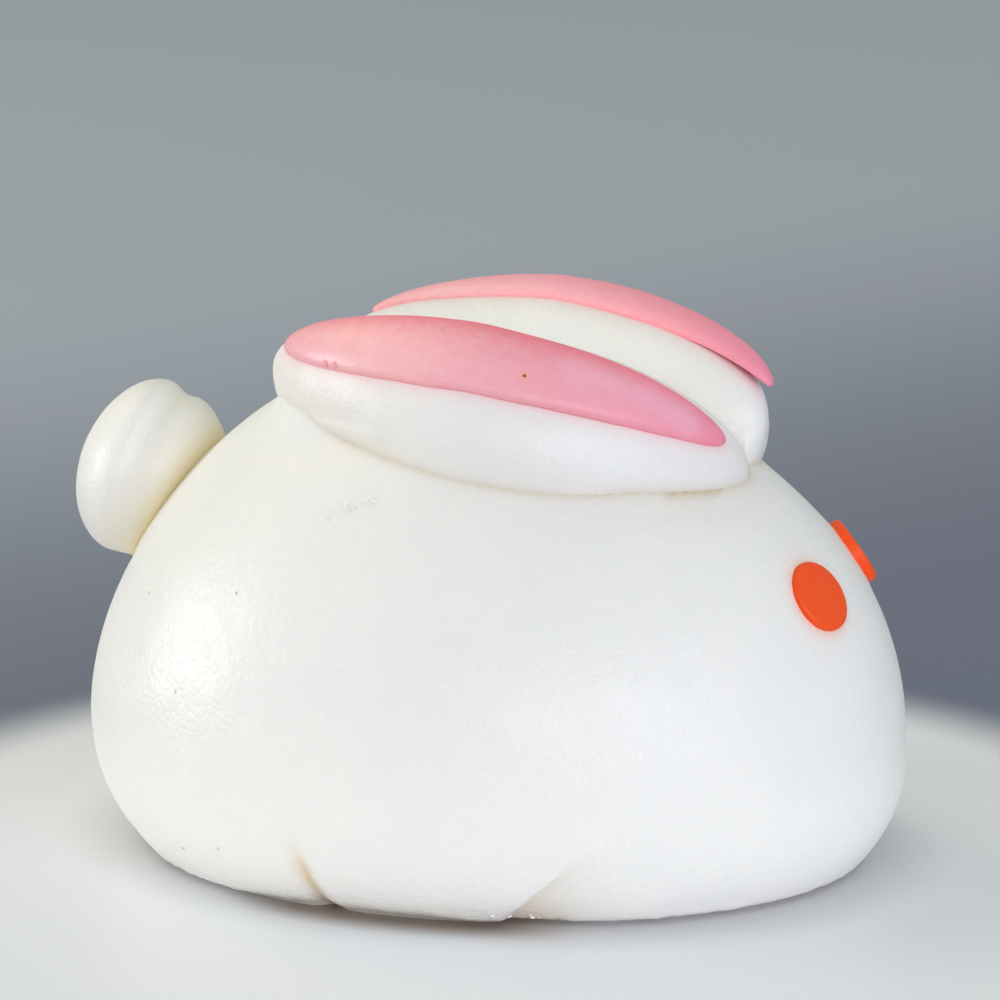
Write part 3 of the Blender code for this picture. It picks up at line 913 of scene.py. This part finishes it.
def smooth_body(bearing, latitude):
    """Places on the body without its folds, as an array of x, y and z."""
    upper = latitude >= 0
    power = np.where(upper, round_bearing(bearing, DOME_POWER), round_bearing(bearing, BELLY_POWER))
    rise = np.where(upper, DOME_RISE, round_bearing(bearing, BELLY_DROP))
    level = profile_power(np.cos(latitude), power) / plan_radius(bearing) ** power
    upright = profile_power(np.sin(latitude), power) / rise**power
    radius = (level + upright) ** (-1 / power)
    drop = round_bearing(bearing, {"front": NOSE_DROP, "rear": RUMP_DROP, "side": 0.0})
    z = WAIST_HEIGHT - drop * np.cos(latitude) ** 2 + radius * np.sin(latitude)
    lean = DOME_LEAN * np.clip((z - WAIST_HEIGHT) / DOME_RISE, 0.0, 1.0) ** 2
    out = radius * np.cos(latitude)
    return np.stack((out * np.cos(bearing) - lean, out * np.sin(bearing), z), axis=-1)


def fold_depth(bearing, height, out):
    """How far the folds draw the surface in at this bearing and height."""
    depth = np.zeros_like(bearing)
    for foot_bearing, turn, fold_height, deepest, first_flank, second_flank in FOLDS:
        rise = np.clip(height / (fold_height * MM), 0.0, 1.0)
        line = np.radians(foot_bearing + turn * rise)
        aside = turn_from(line, bearing)
        flank = np.where(aside < 0, first_flank, second_flank) * MM * (1.0 - FOLD_NARROWING * rise)
        fade = (1.0 - rise) ** FOLD_FADE_POWER
        depth += deepest * MM * fade * bell(aside * out / flank)
    return depth


def fold_shade(bearing, height, out):
    """How strongly each fold's line is tinted beige part of the way up, as painted shade in its crease.
    """
    stain = np.zeros_like(bearing)
    for strength, (foot_bearing, turn, fold_height, *_) in zip(FOLD_SHADE_STRENGTHS, FOLDS):
        line = np.radians(foot_bearing + turn * height / (fold_height * MM))
        aside = turn_from(line, bearing) * out
        along = (height - FOLD_SHADE_HEIGHT) / FOLD_SHADE_SPREAD
        stain += strength * np.exp(-((aside / FOLD_SHADE_WIDTH) ** 2) - along**2)
    return stain


def foot_tuck(bearing, height):
    """How far the lower edge is tucked in under the bun, along a slightly ragged line."""
    wander = sum(np.sin(waves * bearing + 1.7 * waves) for waves in TUCK_WAVES) / len(TUCK_WAVES)
    edge = TUCK_HEIGHT * (1.0 + 2.0 * TUCK_RAGGEDNESS * wander)
    edge = edge + TUCK_LIFT * np.exp(-(((bearing - TUCK_LIFT_BEARING) / TUCK_LIFT_SPREAD) ** 4))
    return TUCK_DEPTH * bell(height / np.maximum(edge, LEAST_TUCK_HEIGHT))


def foot_latitude(bearing):
    """The latitude at which the surface meets the flat underside."""
    low = np.full_like(bearing, LOWEST_LATITUDE)
    high = np.zeros_like(bearing)
    for _ in range(HALVINGS):
        middle = (low + high) / 2
        under = smooth_body(bearing, middle)[..., 2] < 0
        low = np.where(under, middle, low)
        high = np.where(under, high, middle)
    return high


def fold_bearings():
    """Bearings of the body's columns, crowded together at the folds."""
    steps = STEPS_PER_COLUMN * BODY_COLUMNS
    bearing = -pi + FULL_TURN * (np.arange(steps) + 0.5) / steps
    weight = np.ones(steps)
    for fold in FOLDS:
        aside = turn_from(radians(fold[0] + fold[1] / 2), bearing)
        weight += FOLD_CROWDING * bell(aside / FOLD_CROWDING_SPREAD)
    passed = np.cumsum(weight) / np.sum(weight)
    return np.interp((np.arange(BODY_COLUMNS) + 0.5) / BODY_COLUMNS, passed, bearing)


def skin_mesh(name, rings, first_pole, last_pole):
    """A closed skin over rings of places, from one pole place to the other."""
    rows, columns = rings.shape[:2]
    points = np.vstack((rings.reshape(-1, 3), [first_pole, last_pole]))
    here = np.arange(columns)
    after = (here + 1) % columns
    quads = []
    for row in range(rows - 1):
        lower = row * columns
        upper = lower + columns
        quads += np.column_stack((lower + here, lower + after, upper + after, upper + here)).tolist()
    first = np.full(columns, rows * columns)
    last_row = (rows - 1) * columns
    caps = np.column_stack((first, after, here)).tolist()
    caps += np.column_stack((first + 1, last_row + here, last_row + after)).tolist()
    mesh = bpy.data.meshes.new(name)
    mesh.from_pydata(points.tolist(), [], quads + caps)
    return mesh


def new_piece(name, mesh=None):
    """A piece at the origin, whose place is in its mesh."""
    return new_item(name, mesh or bpy.data.meshes.new(name))


def new_item(name, data):
    item = bpy.data.objects.new(name, data)
    bpy.context.scene.collection.objects.link(item)
    return item


def look_along(item, place, back):
    """Put a lamp or the camera at a place, with its back in the given direction."""
    item.location = place
    item.rotation_mode = "QUATERNION"
    item.rotation_quaternion = back.to_track_quat("Z", "Y")


def close_and_face_out(item):
    """Weld what coincides and turn every face outwards."""
    builder = bmesh.new()
    builder.from_mesh(item.data)
    bmesh.ops.remove_doubles(builder, verts=builder.verts[:], dist=0.001 * MM)
    bmesh.ops.dissolve_degenerate(builder, dist=0.0002 * MM, edges=builder.edges[:])
    bmesh.ops.recalc_face_normals(builder, faces=builder.faces[:])
    builder.to_mesh(item.data)
    builder.free()
    item.data.shade_smooth()


def set_mark(mesh, name, values):
    """Keep one number per point on a mesh, for its material to read."""
    mark = mesh.attributes.new(name, "FLOAT", "POINT")
    mark.data.foreach_set("value", values.astype(np.float32).ravel())


def mesh_points(item):
    """The places of a piece's points, one row each."""
    points = np.empty(3 * len(item.data.vertices))
    item.data.vertices.foreach_get("co", points)
    return points.reshape(-1, 3)


def line_mark(item, name, lines):
    """Mark a piece round short lines; for each line its ends, reach and strength."""
    points = mesh_points(item)
    values = np.zeros(len(points))
    for start, end, reach, strength in lines:
        first = np.array(start) * MM
        run = np.array(end) * MM - first
        share = np.clip((points - first) @ run / max(run @ run, MM**4), 0.0, 1.0)
        away = np.linalg.norm(points - first - share[:, None] * run, axis=1)
        values = np.maximum(values, strength * bell(away / (reach * MM)))
    set_mark(item.data, name, values)


def stretch_mark(item, name, stretches, source=None):
    """Mark stretches of a piece's right side along x, times another of its marks if one is named."""
    points = mesh_points(item)
    values = np.zeros(len(points))
    for first, last, strength in stretches:
        soft = min(END_SHARE * (last - first), LONGEST_END)
        x = points[:, 0] / MM
        inside = np.clip((x - first) / soft, 0.0, 1.0) * np.clip((last - x) / soft, 0.0, 1.0)
        values = np.maximum(values, strength * inside)
    values *= points[:, 1] < 0.0
    if source:
        marks = np.empty(len(points))
        item.data.attributes[source].data.foreach_get("value", marks)
        values *= marks
    set_mark(item.data, name, values)


def slip_marks(slip):
    """Mark the halves of a slip towards the rabbit's left and right, and how far forward it is."""
    x, across, _ = (mesh_points(slip) / MM).T
    middle_line = np.polynomial.Polynomial.fit(x, across, 4)
    aside = (across - middle_line(x)) / SLIP_SIDE_REACH
    set_mark(slip.data, "left_side", np.clip(aside, 0.0, 1.0))
    set_mark(slip.data, "right_side", np.clip(-aside, 0.0, 1.0))
    set_mark(slip.data, "forward", np.clip((x - ROSE_FROM) / (ROSE_FULL - ROSE_FROM), 0.0, 1.0))


def body_mesh():
    """The folded body, from the middle of its underside to the top of its back."""
    bearing = fold_bearings()
    foot = foot_latitude(bearing)
    climb = (np.arange(BODY_ROWS) / BODY_ROWS)[:, None] ** FOOT_ROW_CROWDING
    latitude = foot + (pi / 2 - foot) * climb
    bearings = np.broadcast_to(bearing, latitude.shape)
    rings = smooth_body(bearings, latitude)
    rings[0, :, 2] = 0.0
    out = np.hypot(rings[..., 0], rings[..., 1])
    inward = fold_depth(bearings, rings[..., 2], out)
    drawn_in = inward + foot_tuck(bearings, rings[..., 2])
    rings[..., 0] -= drawn_in * np.cos(bearings)
    rings[..., 1] -= drawn_in * np.sin(bearings)

    foot_middle = rings[0].mean(axis=0)
    shares = np.arange(1, UNDERSIDE_ROWS + 1)[:, None, None] / (UNDERSIDE_ROWS + 1)
    underside = foot_middle + (rings[0] - foot_middle) * shares
    top = smooth_body(np.zeros(1), np.full(1, pi / 2))[0]
    mesh = skin_mesh("rabbit_body", np.concatenate((underside, rings)), foot_middle, top)

    marks = {
        # the two fold marks carry painted shade in the creases; foot only places crumbs
        "fold": inward / MM,
        "foot": bell((rings[..., 2] - FOOT_LIP_HEIGHT) / FOOT_LIP_SPREAD),
        "stain": fold_shade(bearings, rings[..., 2], out),
    }
    for name, values in marks.items():
        hidden = np.zeros(UNDERSIDE_ROWS * BODY_COLUMNS)
        set_mark(mesh, name, np.concatenate((hidden, values.ravel(), np.zeros(2))))
    return mesh


def turns_round(columns):
    return FULL_TURN * np.arange(columns) / columns


def turned_skin(name, radius, height, pole_heights, seat, upper, outward):
    """A closed skin turned round an axis that points out of the body at its seat.

    Radius has a row for each ring and a column for each turn round it; height has one column."""
    around = turns_round(radius.shape[1])
    height = np.broadcast_to(height, radius.shape)
    rings = np.stack((radius * np.cos(around), radius * np.sin(around), height), axis=-1)
    poles = np.array([(0.0, 0.0, pole) for pole in pole_heights])
    axes = np.array((upper, outward.cross(upper), outward))
    first, last = np.array(seat) + poles @ axes
    return skin_mesh(name, np.array(seat) + rings @ axes, first, last)


def eye_mesh(name, eye):
    """A punched disc with a softly rounded rim, facing out from the cheek."""
    stand = eye["stand"]
    bearing, latitude = np.array(eye["facing"])[:, None]
    seat = Vector(smooth_body(bearing, latitude)[0])
    round_face = Vector(smooth_body(bearing + EYE_STEP, latitude)[0]) - seat
    up_face = Vector(smooth_body(bearing, latitude + EYE_STEP)[0]) - seat
    outward = round_face.cross(up_face).normalized()
    upper = (up_face - outward * up_face.dot(outward)).normalized()

    flat_radius = eye["radius"] - EYE_RIM
    face = np.linspace(EYE_INNER_RING, 1.0, EYE_FACE_ROWS)[:-1] * flat_radius
    bend = np.linspace(0.0, pi / 2, EYE_RIM_ROWS)
    wall = np.linspace(stand - EYE_RIM, -EYE_SINK, EYE_WALL_ROWS)[1:]
    radius = np.concatenate((face, flat_radius + EYE_RIM * np.sin(bend), wall * 0 + eye["radius"]))
    height = np.concatenate((face * 0 + stand, stand - EYE_RIM + EYE_RIM * np.cos(bend), wall))
    height = height + EYE_DOME * (1.0 - (radius / eye["radius"]) ** 2)
    radius = np.broadcast_to(radius[:, None], (len(radius), EYE_COLUMNS))
    pole_heights = (stand + EYE_DOME, -EYE_SINK)
    return turned_skin(name, radius, height[:, None], pole_heights, seat, upper, outward)


def tail_mesh():
    """The tail, a ball with a groove round its root where fingers pinched it on."""
    from_axis = (pi * np.arange(1, TAIL_ROWS) / TAIL_ROWS)[:, None]
    upward = np.cos(turns_round(TAIL_COLUMNS))
    pinch = TAIL_PINCH * (1.0 - TAIL_PINCH_SHARE + TAIL_PINCH_SHARE * upward)
    pinch = pinch * bell((from_axis - TAIL_PINCH_ANGLE) / TAIL_PINCH_SPREAD)
    across = TAIL_RADIUS * np.sin(from_axis) - pinch
    depth = np.where(from_axis < pi / 2, TAIL_OUTER_DEPTH, TAIL_ROOT_DEPTH)
    pole_heights = (TAIL_OUTER_DEPTH, -TAIL_ROOT_DEPTH)
    outward = Vector((-cos(TAIL_TILT), 0.0, sin(TAIL_TILT)))
    upper = Vector((sin(TAIL_TILT), 0.0, cos(TAIL_TILT)))
    height = depth * np.cos(from_axis)
    return turned_skin("tail_ball", across, height, pole_heights, TAIL_CENTRE, upper, outward)


# ==== materials
PATCH_EDGE = (0.35, 0.65)  # shares of the waves at which one colour gives way to the next
FLECK_EDGE = (0.55, 0.8)


def dough_skin_group():
    """The fine skin of steamed dough: pores, goose bumps and ripples, and its gloss and tone.

    Where Damp is 1 the grain is stronger and the gloss is higher."""
    group = Group(
        "dough_skin",
        "ShaderNodeTree",
        "number: Pore Size, Pore Depth, Goose Size, Goose Depth, Ripple Size, Ripple Depth, "
        "Roughness, Roughness Spread, Patch Size, Damp, Damp Grain, Damp Gloss",
        "number: Height, Roughness, Patch, Fleck",
    )
    position = group.add("ShaderNodeTexCoord", output="Object")

    def waves(size, detail, shift):
        moved = position.vector_math("ADD", (shift, shift, shift))
        return group.add("ShaderNodeTexNoise", {"Vector": moved, "Scale": 1.0 / size, "Detail": detail})

    pores = waves(group["Pore Size"], 2.0, 0.3)
    ripples = waves(group["Ripple Size"], 1.0, 0.7)
    patches = waves(group["Patch Size"], 2.0, 1.1)
    bumps = group.add(
        "ShaderNodeTexVoronoi",
        {"Vector": position, "Scale": 1.0 / group["Goose Size"]},
        output="Distance",
        feature="F1",
    )
    grain = (pores - 0.5) * group["Pore Depth"] - bumps * bumps * group["Goose Depth"]
    grain = grain * (1.0 + group["Damp"] * group["Damp Grain"])
    group.give("Height", grain + (ripples - 0.5) * group["Ripple Depth"])
    roughness = group["Roughness"] + (ripples - 0.5) * group["Roughness Spread"]
    group.give("Roughness", roughness - group["Damp"] * group["Damp Gloss"])
    group.give("Patch", patches.smooth_step(*PATCH_EDGE))
    group.give("Fleck", pores.smooth_step(*FLECK_EDGE))
    return group.tree


def mix_colours(board, factor, first, second):
    """The first colour where the factor is 0 and the second where it is 1."""
    return board.add(
        "ShaderNodeMix", {0: factor, 6: first, 7: second}, output=2, data_type="RGBA"
    )


def read_mark(board, name):
    return board.add("ShaderNodeAttribute", output="Fac", attribute_name=name, attribute_type="GEOMETRY")


def new_material(name, shader_values):
    """A material with its Principled shader set, and the board of its tree."""
    material = bpy.data.materials.new(name)
    material.use_nodes = True
    board = Board(material.node_tree)
    board.set_shader(shader_values)
    return material, board


def skin_material(skin, name, sizes, colours, marks, shader_values, damp_mark):
    """A dough material: two patchy colours with flecks, more colours where marks are strong (real stains
    and bleeds at some, painted shade and painted highlights at others), and relief.

    Each mark is its name, its colour, its strength, and the power that narrows it."""
    material, board = new_material(name, shader_values)
    damp = {"Damp": read_mark(board, damp_mark)} if damp_mark else {}
    relief = board.use(skin, {**sizes, **damp})
    first, second, fleck = colours
    colour = mix_colours(board, board.out(relief, "Patch"), first, second)
    colour = mix_colours(board, board.out(relief, "Fleck"), colour, fleck)
    for mark, stain, strength, power in marks:
        factor = (read_mark(board, mark) ** power * strength).math("MINIMUM", 1.0)
        colour = mix_colours(board, factor, colour, stain)
    bump = board.add(
        "ShaderNodeBump", {"Height": board.out(relief, "Height"), "Distance": 1.0}, output="Normal"
    )
    roughness = board.out(relief, "Roughness")
    board.set_shader({"Base Color": colour, "Roughness": roughness, "Normal": bump})
    return material


WHITE_SKIN = {
    "Pore Size": 0.35 * MM,
    "Pore Depth": 0.030 * MM,
    "Goose Size": 0.48 * MM,
    "Goose Depth": 0.030 * MM,
    "Ripple Size": 1.8 * MM,
    "Ripple Depth": 0.050 * MM,
    "Roughness": 0.42,
    "Roughness Spread": 0.20,
    "Patch Size": 9.0 * MM,
    "Damp": 0.0,
    "Damp Grain": 0.1,
    "Damp Gloss": 0.12,
}
PINK_SKIN = {
    **WHITE_SKIN,
    "Patch Size": 0.8 * MM,
    "Pore Size": 0.25 * MM,
    "Pore Depth": 0.014 * MM,
    "Goose Depth": 0.010 * MM,
    "Ripple Depth": 0.030 * MM,
    "Roughness": 0.40,
    "Damp Gloss": 0.16,
}
DISC_SKIN = {
    **WHITE_SKIN,
    "Patch Size": 1.5 * MM,
    "Pore Size": 0.25 * MM,
    "Pore Depth": 0.012 * MM,
    "Goose Depth": 0.006 * MM,
    "Ripple Depth": 0.020 * MM,
}
WHITE_SHADER = {
    "Subsurface Weight": 0.15,
    "Subsurface Radius": (1.0, 0.8, 0.55),
    "Subsurface Scale": 1.6 * MM,
    "IOR": 1.45,
}
PINK_SHADER = {
    **WHITE_SHADER,
    "Subsurface Weight": 0.10,
    "Subsurface Radius": (1.0, 0.35, 0.35),
    "Specular IOR Level": 0.30,
    "Coat Weight": 0.08,
    "Coat Roughness": 0.25,
    "Sheen Weight": 0.5,
    "Sheen Roughness": 0.5,
    "Sheen Tint": (1.0, 0.25, 0.32),
}
DISC_SHADER = {
    **WHITE_SHADER,
    "Subsurface Weight": 0.03,
    "Subsurface Radius": (1.0, 0.25, 0.1),
    "Specular IOR Level": 0.3,
    "Sheen Weight": 0.5,
    "Sheen Roughness": 0.5,
    "Sheen Tint": (1.0, 0.12, 0.02),
}
PLAIN_SHADER = {"IOR": 1.45}
# Colours come in threes: two that change place in soft patches, and that of the fine flecks.
WHITE_COLOURS = ((0.905, 0.888, 0.838), (0.885, 0.873, 0.832), (0.925, 0.915, 0.880))
PINK_COLOURS = ((1.0, 0.480, 0.500), (1.0, 0.400, 0.440), (1.0, 0.610, 0.620))
DISC_COLOURS = ((1.0, 0.098, 0.012), (1.0, 0.085, 0.010), (1.0, 0.115, 0.015))
CRUMB_COLOURS = ((0.93, 0.91, 0.86), (0.90, 0.87, 0.80), (0.95, 0.94, 0.92))
BRAN_COLOURS = ((0.78, 0.56, 0.33), (0.72, 0.48, 0.25), (0.84, 0.66, 0.44))
PORE_SHADE_COLOURS = ((0.42, 0.09, 0.04), (0.36, 0.07, 0.03), (0.50, 0.12, 0.05))
# Tan, brown, beige, honey and amber are painted shade, and warm is painted shade at the seams.
SEAM_SHADE_TAN = (0.66, 0.47, 0.24)
SEAM_SHADE_BROWN = (0.56, 0.37, 0.15)
WARM = (0.86, 0.80, 0.68)
SHADE_BEIGE = (0.84, 0.60, 0.33)
ROOT_SHADE_HONEY = (0.97, 0.83, 0.52)
ROOT_SHADE_AMBER = (1.0, 0.76, 0.30)
BLUSH = (0.98, 0.60, 0.62)
ORANGE = (0.98, 0.40, 0.20)
SALMON = (1.0, 0.26, 0.22)
ROSE = (1.0, 0.20, 0.37)
# The pale pink and the sheen are painted highlights on the slips, and the deep pink is painted shade.
HIGHLIGHT_PINK = (1.0, 0.66, 0.66)
SHADE_PINK = (1.0, 0.12, 0.18)
PAINTED_SHEEN = (1.0, 0.62, 0.76)


BODY_MARKS = (
    # painted shade: beige in the folds' creases, along their lines and deeper where the folds are deeper
    ("stain", SHADE_BEIGE, 0.70, 1.0),
    ("fold", SHADE_BEIGE, 0.30, 2.0),
    # painted shade: warm, tan and brown darkening along the seams under the ears
    ("ear_seam", WARM, 0.30, 1.0),
    ("ear_seam", SEAM_SHADE_TAN, 0.45, 3.0),
    ("brown_seam", SEAM_SHADE_BROWN, 0.65, 3.0),
    ("scratch", WARM, 0.15, 2.0),
    # painted shade: a honey tint on the body round the tail's root
    ("tail_seam", ROOT_SHADE_HONEY, 0.5, 1.0),
    ("eye_seam", ORANGE, 0.55, 1.5),
)
EAR_MARKS = (
    # the body_seam lines are painted shade: warm and tan on the ear along its seam with the body
    ("body_seam", WARM, 0.25, 1.0),
    ("rear_end", WARM, 0.35, 1.0),
    ("body_seam", SEAM_SHADE_TAN, 0.30, 3.0),
    ("slip_seam", BLUSH, 0.30, 1.0),
    ("slip_seam", BLUSH, 0.45, 3.0),
)
# painted shade: honey and amber on the tail where it meets the body
TAIL_MARKS = (("body_seam", ROOT_SHADE_HONEY, 0.35, 0.8), ("body_seam", ROOT_SHADE_AMBER, 0.60, 2.2))
SLIP_MARKS = (
    # painted highlight: paler pink on each slip's right half
    ("right_side", HIGHLIGHT_PINK, 0.50, 0.8),
    ("forward", ROSE, 0.60, 1.0),
    ("ear_seam", SALMON, 0.50, 1.0),
    # painted shade: deeper pink on each slip's left half, whose edge faces up and away from the light
    ("left_side", SHADE_PINK, 0.75, 1.2),
    # painted highlight: a pale pink sheen where the slip is glossy
    ("gloss", PAINTED_SHEEN, 0.40, 2.0),
    ("pore_ring", ORANGE, 0.80, 1.5),
)
# Every finish on the bun: its material's name, skin, colours, marks, shader and mark of its damp.
FINISHES = {
    "body": ("body_dough", WHITE_SKIN, WHITE_COLOURS, BODY_MARKS, WHITE_SHADER, "damp"),
    "ear": ("ear_dough", WHITE_SKIN, WHITE_COLOURS, EAR_MARKS, WHITE_SHADER, None),
    "tail": ("tail_dough", WHITE_SKIN, WHITE_COLOURS, TAIL_MARKS, WHITE_SHADER, None),
    "slip": ("pink_dough", PINK_SKIN, PINK_COLOURS, SLIP_MARKS, PINK_SHADER, "gloss"),
    "disc": ("orange_dough", DISC_SKIN, DISC_COLOURS, (), DISC_SHADER, None),
    "crumb": ("dough_crumbs", DISC_SKIN, CRUMB_COLOURS, (), PLAIN_SHADER, None),
    "bran": ("bran_bits", DISC_SKIN, BRAN_COLOURS, (), PLAIN_SHADER, None),
    # painted shade: the pore's dark colour stands in for its hollow
    "pore": ("dark_pore", DISC_SKIN, PORE_SHADE_COLOURS, (), PLAIN_SHADER, None),
    "bubble": ("pink_bubbles", DISC_SKIN, PINK_COLOURS, (), PINK_SHADER, None),
}


# ==== the pieces
FLANK_LATITUDES = (radians(-60), radians(88), 400)  # first, last and how many are tried


def make_rabbit(materials):
    """Every dough piece, each on the one that carries it. Returns them by name."""
    surface = roll_surface_group()
    roll_tree = dough_roll_tree(surface)
    slip_tree = dough_slip_tree(surface)
    relief_tree = dough_relief_tree()
    settle = settle_tree()
    pieces = {}

    def add_piece(node, item, finish, side=0.0, extra=None):
        """Close a piece, give it its relief and draw its hidden back up to the body."""
        close_and_face_out(item)
        labels = ("Lump Size", "Lump Height", "Ripple Size", "Ripple Height")
        values = {
            **SPARE_SIZES,
            **dict(zip(labels, mm(*RELIEF_SIZES[finish]))),
            "Seed": RELIEF_SEEDS[finish] + side,
            "Material": materials[finish],
            **(extra or {}),
        }
        grow(item, relief_tree, values)
        if finish in SETTLE_DEPTHS:
            depth = SETTLE_DEPTHS[finish]
            grow(item, settle, {"Base": pieces["body"], "Depth": depth, "Material": materials[finish]})
        pieces[node] = item

    add_piece("body", new_piece("rabbit_body", body_mesh()), "body", extra=BODY_RELIEF)
    for side_name, ear in EARS.items():
        side = ear["Side"]
        values = {**EAR_SIZES, **ear, "Material": materials["ear"]}
        roll = grow(new_piece(f"rolled_ear_{side_name}"), roll_tree, values)
        add_piece(f"ear_{side_name}", roll, "ear", side, EAR_RIDGE if side_name == "right" else None)
        values.update(SLIP_SIZES, Material=materials["slip"])
        slip = grow(new_piece(f"pink_slip_{side_name}"), slip_tree, values)
        add_piece(f"inner_ear_{side_name}", slip, "slip", side)
        eye_name = f"eye_disc_{side_name}"
        eye = new_piece(eye_name, eye_mesh(eye_name, EYES[side_name]))
        add_piece(f"eye_{side_name}", eye, "disc", side)
    add_piece("tail", new_piece("tail_ball", tail_mesh()), "tail")
    press_together(pieces)
    mark_pieces(pieces)
    return pieces


def press_together(pieces):
    """Mark and fill the seams where the pieces touch."""
    seam_tree = pressed_seam_tree()
    for node, others, mark, sizes, soft_end in SEAMS:
        item = pieces[node]
        beside = bpy.data.collections.new(f"{node}_{mark}")
        for other in others.split():
            beside.objects.link(pieces[other])
        values = {
            **SPARE_SIZES,
            **dict(zip(("Mark Reach", "Rise", "Rise Reach"), mm(*sizes))),
            "Pieces": beside,
            "Mark": mark,
            "Material": item.data.materials[-1],  # its own finish; the first place may be empty
            **soft_end,
        }
        grow(item, seam_tree, values)


def mark_pieces(pieces):
    """Set the marks that stains, painted shade, painted highlights, gloss and strewn crumbs go by."""
    for node, item in pieces.items():
        for start, name, lines in LINE_MARKS:
            if node.startswith(start):
                line_mark(item, name, lines)
        if node.startswith("inner_ear"):
            slip_marks(item)
    for name, (source, stretches) in STRETCH_MARKS.items():
        stretch_mark(pieces["body"], name, stretches, source)


def small_things(pieces, materials):
    """Crumbs along the seams and the foot, bran specks, small blisters, and a pore and bubbles."""
    crumbs = crumbs_tree()
    spots = spots_tree()
    made = {}
    for name, sizes in CRUMB_LINES.items():
        values = {**dict(zip(CRUMB_INPUTS, sizes)), "Material": materials["crumb"]}
        made[name] = grow(new_piece(name, pieces["body"].data.copy()), crumbs, values)
    for name, (carrier, finish, sizes, places) in SPOTS.items():
        mesh = bpy.data.meshes.new(name)
        spot_place = flank_place if carrier == "body" else mm
        mesh.from_pydata([spot_place(*place) for place in places], [], [])
        values = {"Base": pieces[carrier], "Material": materials[finish]}
        made[name] = grow(new_piece(name, mesh), spots, {**dict(zip(SPOT_INPUTS, sizes)), **values})
    return made


def flank_place(bearing_degrees, height):
    """A place on the body's side at a bearing in degrees and a height in millimetres."""
    latitude = np.linspace(*FLANK_LATITUDES)
    places = smooth_body(np.full_like(latitude, radians(bearing_degrees)), latitude)
    nearest = np.argmin(np.abs(places[:, 2] - height * MM))
    return places[nearest].tolist()


# ==== stage, lights and camera
def towards(azimuth, elevation):
    """The direction at an azimuth from +X, counterclockwise, and an elevation, in degrees."""
    a = radians(azimuth)
    e = radians(elevation)
    return Vector((cos(a) * cos(e), sin(a) * cos(e), sin(e)))


def stage_floor(middle):
    """A pale floor round the bun that fades into a calm grey further out."""
    builder = bmesh.new()
    bmesh.ops.create_circle(builder, cap_ends=True, segments=96, radius=FLOOR_RADIUS)
    mesh = bpy.data.meshes.new("floor")
    builder.to_mesh(mesh)
    builder.free()
    floor = new_piece("floor", mesh)
    material, board = new_material("floor_surface", FLOOR_SHADER)
    position = board.add("ShaderNodeTexCoord", output="Object")
    distance = position.vector_math("DISTANCE", (middle.x + POOL_SHIFT[0], middle.y + POOL_SHIFT[1], 0.0))
    fade = distance.smooth_step(POOL_INNER, POOL_OUTER)
    outward = position.part(1) - position.part(0) * DUSK_TURN
    grey = mix_colours(board, outward.smooth_step(GREY_FROM, GREY_FULL), FLOOR_DUSK, FLOOR_GREY)
    along = (position.part(0) - FOOT_MIDDLE) / FOOT_REACH[0]
    share = board.place(along, position.part(1) / FOOT_REACH[1], 0.0).vector_math("LENGTH")
    pale = FLOOR_PALE
    for colour, strength, shares, lengths in FLOOR_SHADES:
        shade = 1.0 - share.smooth_step(*shares)
        shade = shade * (1.0 - position.part(0).math("ABSOLUTE").smooth_step(*lengths))
        pale = mix_colours(board, shade * strength, pale, colour)
    board.set_shader({"Base Color": mix_colours(board, fade, pale, grey)})
    mesh.materials.append(material)


def soft_light(name, azimuth, elevation, distance, size, brightness, colour, target):
    """A rectangular softbox that faces the bun; brightness is the light it sends per area."""
    width, height = size
    light = bpy.data.lights.new(name, "AREA")
    light.shape = "RECTANGLE"
    light.size = width
    light.size_y = height
    light.energy = brightness * pi * width * height
    light.color = colour
    item = new_item(name, light)
    direction = towards(azimuth, elevation)
    look_along(item, target + direction * distance, direction)
    item.visible_camera = False


def make_lights(target):
    for name, azimuth, elevation, distance, size, brightness, colour in LIGHTS:
        soft_light(name, azimuth, elevation, distance, size, brightness, colour, target)
    world = bpy.data.worlds.new("studio")
    bpy.context.scene.world = world
    world.use_nodes = True
    background = world.node_tree.nodes["Background"]
    feed_node(background, {"Color": WORLD_COLOUR, "Strength": WORLD_STRENGTH})


def make_camera(middle):
    camera = bpy.data.cameras.new("camera")
    camera.lens = CAMERA_LENS
    camera.sensor_width = SENSOR_WIDTH
    camera.clip_start, camera.clip_end = CAMERA_RANGE
    item = new_item("camera", camera)
    a = CAMERA_AZIMUTH
    e = CAMERA_ELEVATION
    back = Vector((sin(a) * cos(e), -cos(a) * cos(e), sin(e)))
    look_along(item, middle + CAMERA_AIM + back * CAMERA_DISTANCE, back)
    bpy.context.scene.camera = item


def stay_on_solid(item, node):
    """Stop if a piece has left the solid that it dresses."""
    points = mesh_points(item)
    low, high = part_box(node)
    gap = max(np.abs(points.min(axis=0) - low).max(), np.abs(points.max(axis=0) - high).max())
    if gap > FIT_ALLOWANCE:
        raise ValueError(f"{item.name} ends {gap / MM:.1f} mm away from its solid {node}")


def main():
    skin = dough_skin_group()
    materials = {finish: skin_material(skin, *looks) for finish, looks in FINISHES.items()}
    pieces = make_rabbit(materials)
    for name, item in small_things(pieces, materials).items():
        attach(item, "root")
    for node, item in pieces.items():
        stay_on_solid(item, node)
        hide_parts(node)
        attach(item, "root")
    for group in list(bpy.data.collections):
        bpy.data.collections.remove(group)

    low, high = CAD_BOX
    middle = (low + high) / 2
    stage_floor(middle)
    make_lights(middle)
    make_camera(middle)
    bpy.context.scene.view_settings.view_transform = "Standard"


main()
